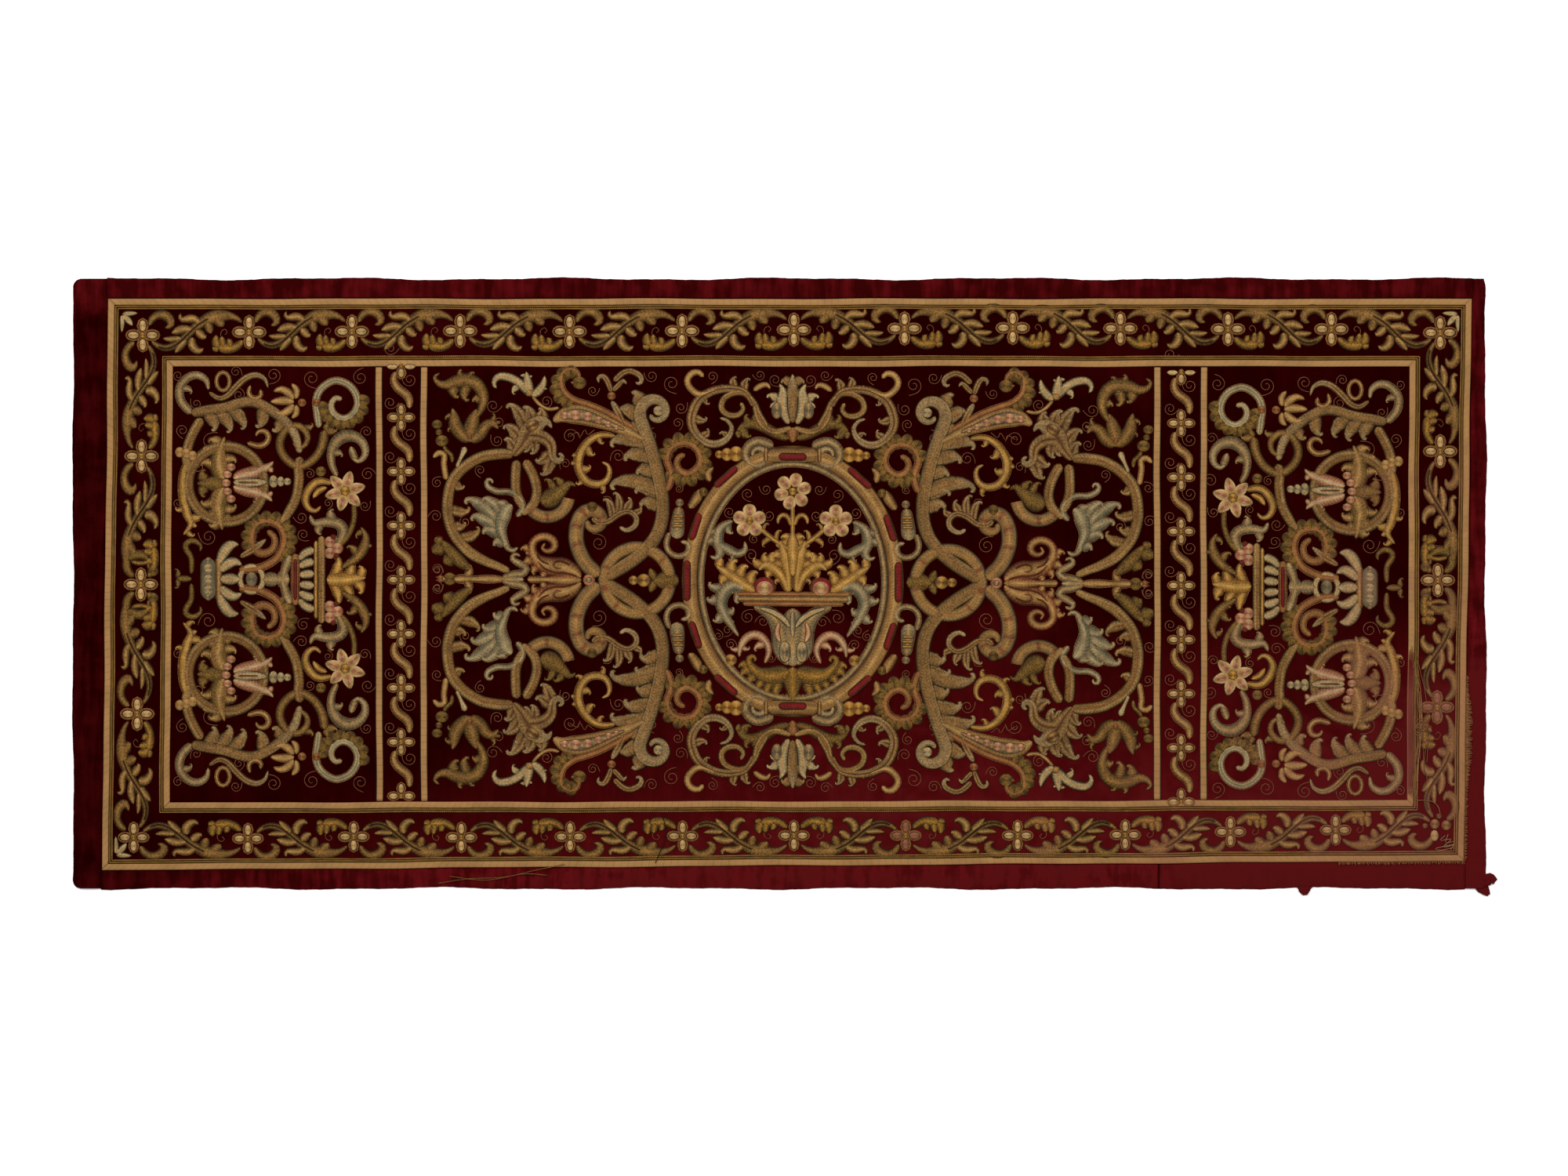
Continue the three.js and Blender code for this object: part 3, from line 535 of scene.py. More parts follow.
def dome(line, rise, silk, base=0.0, seed=0.0, closed=False):
    """A padded stroke: across it z rises to the middle as the root of 1 - v squared, over square edges."""
    _, n = headings(line, closed)
    half = line[:, 2] / 2
    v = DOME_COLUMNS
    crown = np.minimum(rise, 0.75 * half)[:, None]
    z = base + 0.35 + crown * np.sqrt(1 - 0.97 * v**2)[None]
    top = np.dstack([line[:, None, :2] + n[:, None] * (half[:, None] * v)[..., None], z])
    under = line[:, None, :2] + n[:, None] * (half[:, None] * DOME_UNDER)[..., None]
    under = np.dstack([under, np.full(under.shape[:2], SUNK)])
    grid = np.concatenate([top, under], axis=1)
    s = arc_lengths(line)
    v_all = np.concatenate([v, [1, -1]])
    tint = colours(silk, 0 * s if closed else s / s[-1], v_all, seed)
    pitch = SILKS[silk].ticks
    if pitch:
        along = np.mod(s, pitch)
        marks = (along < WIDE_TICK) | (np.abs(along - TICK_GAP) < NARROW_TICK)
        tint[np.ix_(marks, np.abs(v_all) < 0.7)] *= TICK_TINT
    width = np.median(half)
    u = np.append(s, 2 * s[-1] - s[-2]) if closed else s
    around = np.concatenate([v * width, [width + 0.5, -width - 0.5], [-width]])
    return Surface(grid, u, around, tint, (closed, True))


def tube(line, radius, dye, sides=3, closed=False, height=None, flecks=0.0):
    """A cord: points on a circle round each point of the line, at its own radius over the velvet."""
    _, n = headings(line, closed)
    phi = 2 * np.pi * np.arange(sides) / sides + np.pi / 2
    z = radius * 0.8 if height is None else height
    z = np.broadcast_to(np.asarray(z, float), (len(line),))
    offset = n[:, None] * (radius * np.cos(phi))[None, :, None]
    grid = np.dstack([line[:, None, :2] + offset, z[:, None] + radius * np.sin(phi)[None]])
    s = arc_lengths(line)
    shade = 1 + 0.1 * noise(s / 9, len(line))[:, None, None]
    colour = np.broadcast_to(linear(dye) * shade, grid.shape)
    tint = np.concatenate([colour, np.full(grid.shape[:2] + (1,), flecks)], axis=2)
    u = np.append(s, s[-1] + max(s[-1] - s[-2], 1.0)) if closed else s
    return Surface(grid, u, np.linspace(0, 2 * np.pi * radius, sides + 1), tint, (closed, True))


def edging(line, silk, size, closed=True, height=CORD_HEIGHT):
    """The couched cord that edges silk work."""
    return tube(line, size.cord, SILKS[silk].cord, 3, closed, height, CORD_FLECKS)


def outline(line, radius):
    """The closed line round a stroke: its left edge, then its right edge backwards."""
    _, n = headings(line)
    reach = (line[:, 2] / 2 + 0.55 * radius)[:, None]
    left, right = line[:, :2] + n * reach, line[:, :2] - n * reach
    return even(np.vstack([left, right[::-1], left[:1]]), 5.0)[:-1]


def crowded(line):
    """The same line with as many points, closer together towards its ends."""
    t = np.linspace(0, 1, len(line))
    place = 0.6 * t + 0.4 * (0.5 - 0.5 * np.cos(np.pi * t))
    return np.column_stack([np.interp(place, t, column) for column in line.T])


def rounded(line, head, tail):
    """Narrows a stroke's width near its ends, and rounds the ends off."""
    s = arc_lengths(line)
    t = s / s[-1]
    taper = np.minimum(1, np.minimum(head + 3 * t, tail + 2 * (1 - t)))
    width = line[:, 2] * taper
    for far, end in ((s, width[0]), (s[-1] - s, width[-1])):
        reach = max(end / 2, 1.0)
        width = width * np.sqrt(np.clip(1 - (1 - np.minimum(far / reach, 1)) ** 2, 0.03, 1))
    return np.column_stack([line[:, :2], width])


def leaflet(row, line, tip, step):
    """The line of a leaflet: it leaves the stroke tangentially, a little before its tip, and hooks over.
    Its width swells as a sine and is notched by a finer one."""
    spot = np.array(tip, float)
    near = int(np.argmin(np.hypot(*(line[:, :2] - spot).T)))
    far = np.hypot(*(line[near, :2] - spot))
    back = max(0, near - int(0.75 * far / step))
    root, middle = line[back, :2], line[near, :2] * 0.55 + spot * 0.45
    start = root + 0.35 * (line[near, :2] - root)
    t = np.linspace(0, 1, max(6, int(far * 1.6 / step)))[:, None]
    curve = (1 - t) ** 2 * start + 2 * t * (1 - t) * middle + t**2 * spot
    profile = np.sin(np.pi * (0.24 + 0.70 * t[:, 0] ** 1.2)) ** 0.7
    swell = 1.3 * row.leaf * np.minimum(1.0, far / 18) * profile
    notch = 1 + 0.16 * np.sin(2 * np.pi * far * t[:, 0] / 10)
    leaf = np.column_stack([curve, np.maximum(swell * notch, 1.6)])
    if row.hook and far > 12:
        d = line[min(near + 1, len(line) - 1), :2] - line[near, :2]
        side = np.sign(d[0] * (spot - root)[1] - d[1] * (spot - root)[0])
        leaf = curled(leaf, (3.6 + 0.07 * far, 0.5, side * row.hook), step)
    return leaf


def stitched(line, silk, size, rise, base, seed):
    """A stroke with its couched outline."""
    edge = edging(outline(line, size.cord), silk, size, True, base + CORD_HEIGHT)
    return [dome(line, rise, silk, base, seed), edge]


def stroke_work(row, size, seed):
    """A stroke over the leaflets that grow from it."""
    points = [p if len(p) == 3 else (*p, row.width) for p in row.path]
    line = smooth(points, size.step)
    if row.curl:
        line = curled(line, row.curl, size.step)
    surfaces = []
    for m, tip in enumerate(row.tips):
        leaf = rounded(crowded(leaflet(row, line, tip, size.step)), 0.9, 0.9)
        surfaces += stitched(leaf, row.silk, size, size.crown * 0.8, -0.1, seed + m)
    line = rounded(crowded(line), row.head, row.tail)
    return surfaces + stitched(line, row.silk, size, size.crown, 0.25 + row.lift, seed)


def button(row, x, y, size, seed):
    """A padded oval: rings shrink to its middle as z rises along a quarter circle, in a cord ring."""
    turn = np.radians(row.turn)
    small = min(row.rx, row.ry)
    a = np.linspace(0, 2 * np.pi, max(9, int(0.75 * (row.rx + row.ry))) + 1)[:-1]
    c, s = row.rx * np.cos(a), row.ry * np.sin(a) * (1 - row.point * np.cos(a))
    ring = np.column_stack([c * np.cos(turn) - s * np.sin(turn), c * np.sin(turn) + s * np.cos(turn)])
    lift = BUTTON_RISE * min(size.crown * 1.15, 0.6 * small) + BUTTON_BASE + row.lift
    lift[0] = SUNK
    spot = np.array([x, y])
    grid = np.stack([
        np.column_stack([spot + ring * share, np.full(len(a), up)]) for share, up in zip(BUTTON_RINGS, lift)
    ])
    tint = colours(row.silk, np.zeros(len(BUTTON_RINGS)), np.cos(a) * 0.9, seed)
    around = np.append(a, 2 * np.pi) * max(row.rx, row.ry)
    surfaces = [Surface(grid, BUTTON_RINGS * row.ry, around, tint, (False, True))]
    if small > CORDED_OVAL:
        edge = spot + ring * (1 + 0.5 * size.cord / small)
        surfaces.append(edging(edge, row.silk, size, True, CORD_HEIGHT + row.lift))
    return surfaces


def dots_work(row, size, seed):
    """A padded oval at each spot."""
    surfaces = []
    for m, (x, y) in enumerate(row.spots):
        surfaces += button(row, x, y, size, seed + m)
    return surfaces


def hoop_work(row, size, seed):
    """A padded band between two cords, or where it is narrow a thick cord with a thin one outside it."""
    span = abs(row.end - row.start)
    whole = span >= 360
    # Its length along the arc, with about 57 degrees to a radian
    length = span * row.rx / 57
    a = np.radians(np.linspace(row.start, row.end, max(8, int(length / size.step))))
    a = a[:-1] if whole else a
    x, y = row.centre[0] + row.rx * np.cos(a), row.centre[1] + row.ry * np.sin(a)
    line = np.column_stack([x, y, np.full(len(a), row.width)])
    if row.width < PADDED_HOOP:
        middle = SILKS[row.silk].across[1]
        surfaces = [tube(line[:, :2], row.width / 2, middle, 4, whole, 1.1, CORD_FLECKS)]
        sides = (1,)
    else:
        surfaces = [dome(line, size.crown, row.silk, 0.1, seed, whole)]
        sides = (-1, 1)
    _, n = headings(line, whole)
    for side in sides:
        edge = line[:, :2] - n * side * (row.width / 2 + size.cord * 0.5)
        surfaces.append(edging(edge, row.silk, size, whole))
    return surfaces


def thread_work(row, size, seed):
    """Thin cords: spirals that close in evenly and flare a little where they start, then the paths."""
    surfaces = []
    for m, (x, y, r) in enumerate(row.spirals):
        hand = 1 if m % 2 else -1
        a = np.linspace(0, 2 * np.pi * SPIRAL_TURNS, 24)
        flare = np.where(a < 0.9, 1 + 0.35 * (0.9 - a) ** 2, 1)
        reach = 1.2 * r * (1 - 0.8 * a / a[-1]) * flare
        turned = hand * a + 2.4 * m
        line = np.column_stack([x + reach * np.cos(turned), y + reach * np.sin(turned)])
        surfaces.append(tube(even(line, 3.0), size.thin, "rose", flecks=0.4))
    height = 0.8 * size.thin + row.lift
    for path in row.paths:
        surfaces.append(tube(smooth(path, 3.4), size.thin, row.dye, 3, False, height, 0.4))
    return surfaces


WORKERS = {Stroke: stroke_work, Dots: dots_work, Hoop: hoop_work, Thread: thread_work}


def work(rows, seed):
    """The surfaces of a motif's rows, in order. The seed varies its bands of shade."""
    size = gauge()
    surfaces = []
    for number, row in enumerate(rows):
        surfaces += WORKERS[type(row)](row, size, seed + 0.7 * number)
    return surfaces


# Materials


class Wire:
    """A shader value. Python's operators on it add Math nodes, and node() adds any other node."""

    def __init__(self, tree, socket=None):
        self.tree = tree
        self.socket = socket

    def node(self, kind, output=0, settings=None, **sockets):
        """Adds a node: its settings first, then the values or links of its sockets, by name or number."""
        new = self.tree.nodes.new(kind)
        for key, value in (settings or {}).items():
            setattr(new, key, value)
        for key, value in sockets.items():
            name = int(key[1:]) if key[0] == "n" and key[1:].isdigit() else key.replace("_", " ")
            socket = new.inputs[name]
            if isinstance(value, Wire):
                self.tree.links.new(value.socket, socket)
            else:
                socket.default_value = value
        return Wire(self.tree, new.outputs[output])

    def maths(self, operation, *values):
        """A Math node whose first value is this one."""
        sockets = {f"n{k}": value for k, value in enumerate((self, *values))}
        return self.node("ShaderNodeMath", 0, {"operation": operation}, **sockets)

    def __add__(self, other):
        return self.maths("ADD", other)

    def __sub__(self, other):
        return self.maths("SUBTRACT", other)

    def __rsub__(self, other):
        return (self * -1.0) + other

    def __mul__(self, other):
        return self.maths("MULTIPLY", other)

    __radd__ = __add__
    __rmul__ = __mul__

    def part(self, number):
        """The x, y or z of this vector."""
        return self.node("ShaderNodeSeparateXYZ", number, None, Vector=self)

    def between(self, low, high):
        """0 below low, 1 above high and a straight ramp between."""
        return self.node("ShaderNodeMapRange", 0, {"clamp": True}, Value=self, From_Min=low, From_Max=high)

    def noise(self, scale, detail=2.0):
        """Fractal noise at this place."""
        return self.node("ShaderNodeTexNoise", 0, None, Vector=self, Scale=scale, Detail=detail)

    def stretched(self, x, y, z=1.0, turn=0.0):
        """This place, scaled along each axis and turned about z."""
        return self.node("ShaderNodeMapping", 0, None, Vector=self, Scale=(x, y, z), Rotation=(0, 0, turn))

    def mixed(self, first, second):
        """Two colours mixed by this value."""
        return self.node("ShaderNodeMix", 2, {"data_type": "RGBA"}, n0=self, n6=first, n7=second)


def material(name):
    """A new, empty material, and the wire that its nodes start from."""
    new = bpy.data.materials.new(name)
    new.use_nodes = True
    new.node_tree.nodes.clear()
    return new, Wire(new.node_tree)


def surfaced(wire, colour, roughness, height, strength, distance, specular=0.0):
    """Ends a material: a Principled surface with a bump."""
    bump = wire.node("ShaderNodeBump", 0, None, Strength=strength, Distance=distance, Height=height)
    shader = wire.node(
        "ShaderNodeBsdfPrincipled", 0, None, Base_Color=colour, Roughness=roughness, Normal=bump,
        Specular_IOR_Level=specular,
    )
    output = wire.tree.nodes.new("ShaderNodeOutputMaterial")
    wire.tree.links.new(shader.socket, output.inputs["Surface"])


def rgba(colour):
    """A colour with full alpha, for a socket."""
    return (*colour, 1.0)


# Seam where the bottom strip is pieced, in metres: its x, and the y below which it shows
PIECED_AT = 0.6157
PIECED_BELOW = -0.44


def velvet_material(name, sheen_mottle, edge):
    """Velvet: near black pile that reddens with painted sheen where it leans, partly its real lean, and where
    it is worn, most towards the lower right.
    The sheen mottle strengthens the painted sheen of the leaning strokes, and edge reddens the top and right
    strips with painted sheen."""
    settings = bpy.context.scene.cloth_velvet
    new, wire = material(name)
    place = wire.node("ShaderNodeTexCoord", 3)
    x, y, z = (place.part(number) for number in range(3))
    clouds = place.noise(4.0, 3.0)
    strokes = place.stretched(70, 13).noise(1.0, 3.0)
    crushed = place.stretched(22, 34, 1, 0.6).noise(1.0, 4.0)
    pile = place.noise(900.0, 1.0)
    # How worn each place is, with painted sheen mixed in: the lower part, real wear plus painted sheen from
    # the pile's direction; the lower right corner, real wear; and the top and right strips, painted sheen on
    # their rolled velvet
    drift = x.between(-1.2, 0.1) * 0.45
    lower = (drift - y - 0.47 + (clouds - 0.5) * 0.12).between(0.0, 0.34)
    right = (x - y * 0.9 - 1.0).between(0.0, 0.35)
    # Painted sheen on the top and right strips, where their rolled velvet catches the light
    top = (y.between(0.44, 0.47) + x.between(1.12, 1.13)).between(0.0, 1.0) * edge
    wear_and_sheen = (lower * 0.72 + right * 0.3 + top).between(0.0, 1.0)
    # How red the pile looks: painted sheen where it leans in strokes and in soft clouds, partly its real
    # lean, stronger where it is worn
    lean = (strokes * 0.6 + crushed * 0.4 - 0.44).between(0.0, 0.2)
    soft = (clouds - 0.5).between(0.0, 0.25) * 0.16
    red = (lean * (0.07 + 0.38 * wear_and_sheen) * sheen_mottle + wear_and_sheen * 0.74 + soft).between(0.0, 1.0)
    colour = red.mixed(rgba(settings.deep), rgba(settings.bright))
    # The ground weave shows where the pile is gone
    weave = place.stretched(1400, 500).noise(1.0, 1.0)
    worn = weave.mixed(rgba(settings.worn), rgba([0.8 * c for c in settings.worn]))
    bare = (lower * 0.6 + right * 0.6 + (crushed - 0.5) * 0.8 - 0.45).between(0.0, 0.3)
    colour = (bare * 0.8).mixed(colour, worn)
    seam = (x - PIECED_AT + (strokes - 0.5) * 0.004).maths("ABSOLUTE").between(0.0026, 0.0008)
    colour = (seam * (PIECED_BELOW - y).between(0.0, 0.01) * 0.8).mixed(colour, rgba(settings.deep))
    back = (0.0012 - z).between(0.0, 0.0006)
    colour = back.mixed(colour, rgba(settings.backing))
    height = pile * (1 - 0.7 * bare) + crushed * 1.4
    surfaced(wire, colour, 0.95 - 0.15 * bare, height, 0.35, 0.0012)
    return new


def silk_material(name, along=90.0, across=900.0, shine=0.4, twist=0.0, ribs=0.0, barbs=0.34):
    """Silk: the piece's own tints, streaked by the laid threads, partly their own tone and partly painted
    highlights, barbed by slanting stitches, soiled in patches and flecked with dark couching. Twist makes a
    cord of it, and ribs a woven band."""
    new, wire = material(name)
    thread = wire.node("ShaderNodeUVMap", 0, {"uv_map": "thread"})
    tint = wire.node("ShaderNodeAttribute", 0, {"attribute_name": "tint"})
    mark = wire.node("ShaderNodeAttribute", 3, {"attribute_name": "tint"})
    place = wire.node("ShaderNodeTexCoord", 3)
    u, off = thread.part(0), thread.part(1).maths("ABSOLUTE")
    strands = thread.stretched(along, across).noise(1.0, 3.0)
    fibre_tone_and_highlights = thread.stretched(0.5 * along, 0.42 * across).noise(1.0, 2.0)
    soil = place.noise(9.0, 3.0)
    patches = place.noise(130.0, 3.0)
    flecks = place.noise(430.0, 2.0)
    height = strands
    # Painted highlights: the light and dark streaks of strands and fibres stand in for light on the laid
    # threads, together with their own uneven tone
    shade = strands * 0.35 + fibre_tone_and_highlights * 0.9 + (soil - 0.5) * 0.3 + patches * 0.65 - 0.11
    if barbs:
        # Slanting stitches, between the middle line and the edges
        slant = (u * 1150.0 + off * 700.0 + patches * 3.0).maths("SINE")
        reach = off.between(0.0004, 0.0035) * off.between(0.0095, 0.006)
        shade = shade * (1.0 - (slant * 0.5 + 0.5) * reach * barbs)
        height = strands + slant * 0.3
    if twist:
        # Dark grooves between the turns of a cord
        turns = (u * twist + thread.part(1) * (0.45 * twist)).maths("FRACT")
        groove = (turns - 0.5).maths("ABSOLUTE").between(0.5, 0.22)
        shade = shade * (0.12 + groove)
        height = groove + strands * 0.3
    if ribs:
        # Grooves across a woven band, the stitches along its edges, and the tone of each joined length
        groove = (u * ribs + (soil - 0.5) * 1.2).maths("FRACT").between(0.0, 0.12)
        stitches = (u * 2700.0).maths("SINE")
        edges = (off + stitches * 0.0004).between(0.0055, 0.0042)
        lengths = thread.stretched(12.0, 0.0).noise(1.0, 0.0).between(0.44, 0.5)
        shade = (shade * 0.35 + 0.6 + 0.11 * lengths) * (0.74 + 0.26 * groove) * (0.38 + 0.62 * edges)
        height = height * 0.5 + groove
    grey = wire.node("ShaderNodeCombineColor", 0, None, Red=shade, Green=shade, Blue=shade)
    colour = wire.node(
        "ShaderNodeMix", 2, {"data_type": "RGBA", "blend_type": "MULTIPLY"}, n0=1.0, n6=tint, n7=grey
    )
    dark = flecks.between(0.5, 0.6) * mark
    colour = dark.mixed(colour, rgba(linear("dark")))
    # The lower right end has faded
    corner = place.part(0) * 0.9 - place.part(1) * 0.9 - 0.75
    faded = (corner + (soil - 0.5) * 1.6).between(0.0, 0.5) * 0.35
    colour = faded.mixed(colour, rgba(linear("mauve")))
    surfaced(wire, colour, (1 - shine) + strands * 0.12, height, 0.5, 0.0006, 0.08)
    return new


# Motif tables, in millimetres. Each is one quarter, half or repeat of the cloth, upper left first.


def bar(silk, start, end, width, lift=0):
    """A straight strip with square ends, as a Stroke."""
    return Stroke(silk, [start, end], width, head=1, tail=1, lift=lift)


def strokes(silk, paths):
    """Plain strokes of one silk, each point with its own width."""
    return [Stroke(silk, path) for path in paths]


def rosette(silk, x, y, count, distance, rx, ry, centre, point=-0.12):
    """Ivory petals at even angles round a centre, as rows of Dots, each with a coloured heart."""
    rows = []
    for k in range(count):
        a = 2 * np.pi * (k + 0.25) / count
        spot = (x + distance * np.cos(a), y + distance * np.sin(a))
        rows.append(Dots("ivory", rx, ry, [spot], np.degrees(a), 0, point))
        rows.append(Dots(silk, rx * 0.62, ry * 0.6, [spot], np.degrees(a), 0.9, point))
    return rows + [Dots("flame", centre, centre, [(x, y)], 0, 0.6)]


def scallops(silk, x, y, reach, rx, ry, count, start, end):
    """Lobes side by side round part of a circle, each pointing outwards, as rows of Dots."""
    rows = []
    for a in np.radians(np.linspace(start, end, count)):
        spot = (x + reach * np.cos(a), y + reach * np.sin(a))
        rows.append(Dots(silk, rx, ry, [spot], np.degrees(a), -0.7))
    return rows


def border_flower(silk="ivory", petals=4):
    """A flower of the border: each petal is a padded oval in a ring of thick couched cord."""
    rows = []
    for c, s in ((1, 0), (0, 1), (-1, 0), (0, -1))[:petals]:
        wide, tall = (11.4, 8.0) if c else (8.0, 11.4)
        spot = (15.4 * c, 15.4 * s)
        rows.append(Hoop("stitch", spot, wide, tall, 2.0))
        rows.append(Dots(silk, wide - 2.3, tall - 2.3, [spot]))
    return rows + [Dots("flame", 4.4, 4.4, [(0, 0)])]


# The border's vine between two flowers, in a frame of its own: along it and across it
VINE = [
    Stroke("vine", [(11, 15, 6), (15, 25, 10), (26, 33, 13), (39, 31, 15), (47, 22, 13), (45, 13, 10),
        (37, 11, 5)]),
    *strokes("fan", [
        [(125, -25, 12), (118, -27, 10), (114, -22, 3)],
        [(124, -24, 16), (120, -14, 14), (121, -3, 4)],
        [(132, -22, 13), (130, -13, 11), (130, -5, 3)],
        [(143, -23, 12), (143, -15, 10), (139, -10, 4)],
        [(164, -13, 7), (157, -21, 12), (146, -26, 14), (135, -25, 17), (123, -24, 16)],
    ]),
    *strokes("lobe", [
        [(95, 16, 8), (86, 24, 13), (76, 25, 13), (67, 23, 9), (61, 27, 7), (64, 34, 3)],
        [(83, 6, 8), (67, 8, 14), (56, 5, 12), (47, 2, 3)],
        [(64, -7, 6), (53, -8, 10), (42, -8, 8), (33, -6, 3)],
        [(88, 6, 10), (96, -2, 14), (102, -7, 8), (105, -3, 3)],
        [(82, -6, 10), (80, -17, 14), (86, -26, 13), (94, -29, 9), (99, -24, 4)],
        [(72, -10, 9), (63, -17, 13), (57, -25, 10), (52, -31, 3)],
    ]),
    *strokes("vine", [
        [(107, 18, 15), (110, 6, 13), (112, -1, 4)],
        [(120, 24, 17), (129, 16, 15), (133, 10, 5)],
        [(14, -10, 6), (24, -18, 8), (36, -22, 10), (48, -20, 11), (61, -13, 12), (73, -2, 12),
            (86, 10, 13), (99, 19, 16), (112, 25, 20), (128, 28, 20), (143, 28, 14), (156, 23, 10),
            (164, 16, 6)],
    ]),
    Stroke("line", [(24, -19), (36, -23), (48, -21), (61, -13), (73, -2), (86, 10), (99, 19), (110, 25)],
        1.3, lift=1.0),
    Thread((), [[(128, -6), (129, 2), (135, 6), (139, 1), (135, -3)]]),
]
# Knot beside the middle flowers of the side vines: a strap with a bead, above the flower's left
KNOT = [
    Stroke("olive", [(-11, 13, 7), (-20, 20, 12), (-24, 32, 13), (-22, 43, 13)]),
    Stroke("olive", [(-22, 42, 12), (-10, 49, 15), (4, 48, 13), (12, 40, 7)]),
    Stroke("fan", [(-16, 38, 5), (-4, 35, 7), (8, 36, 6), (14, 39, 6)]),
    Stroke("olive", [(13, 38, 5), (12, 30, 5), (16, 25, 5)]),
    Dots("moss", 8, 8, [(20, 22)]),
]
# Leaf in a corner of the outer frame, from that corner inwards
CORNER_LEAF = [
    *strokes("white", [
        [(6, -8, 7), (17, -7, 8), (31, -6, 3)],
        [(6, -9, 7), (6, -22, 7), (5, -38, 3)],
        [(7, -9, 8), (16, -18, 10), (23, -27, 3)],
    ]),
]
# Stem below a flower of a column, about that flower's middle
S_STEM = [
    Stroke("tan", [(-9, -14, 7), (-12, -24, 10), (-11, -33, 12), (-3, -43, 13), (7, -50, 13),
        (13, -58, 12), (14, -66, 11), (13, -74, 9)]),
    Thread([(-18, 24, 9.5), (14, -27, 10.5)]),
]
# Flower at the head of a column, half under the braid
HALF_FLOWER = [
    Hoop("stitch", (0, -16), 7.0, 9.4, 2.0),
    Dots("ivory", 4.9, 7.3, [(0, -16)]),
    Stroke("ivory", [(5, -5, 5), (14, -6, 9), (24, -5, 5)]),
    Stroke("ivory", [(-5, -5, 5), (-14, -6, 9), (-24, -5, 5)]),
    Dots("flame", 3.6, 3.6, [(0, -4)]),
]
# What is left of the lower right corner's flower and leaf, about that flower's middle
TORN_FLOWER = [
    Dots("tan", 7, 7.5, [(-6, 5), (13, 3)]),
    Dots("ivory", 6.5, 9, [(-6.5, -14)]),
    Dots("olive", 4, 4, [(1, 18), (-22, 2)]),
    Thread((), [[(11, -14), (3, -22), (21, -20), (8, -33), (29, -28), (-4, -35), (4, -38), (24, -34)],
        [(16, -12), (12, -26), (26, -24), (20, -38)]], "white", 0.6),
]
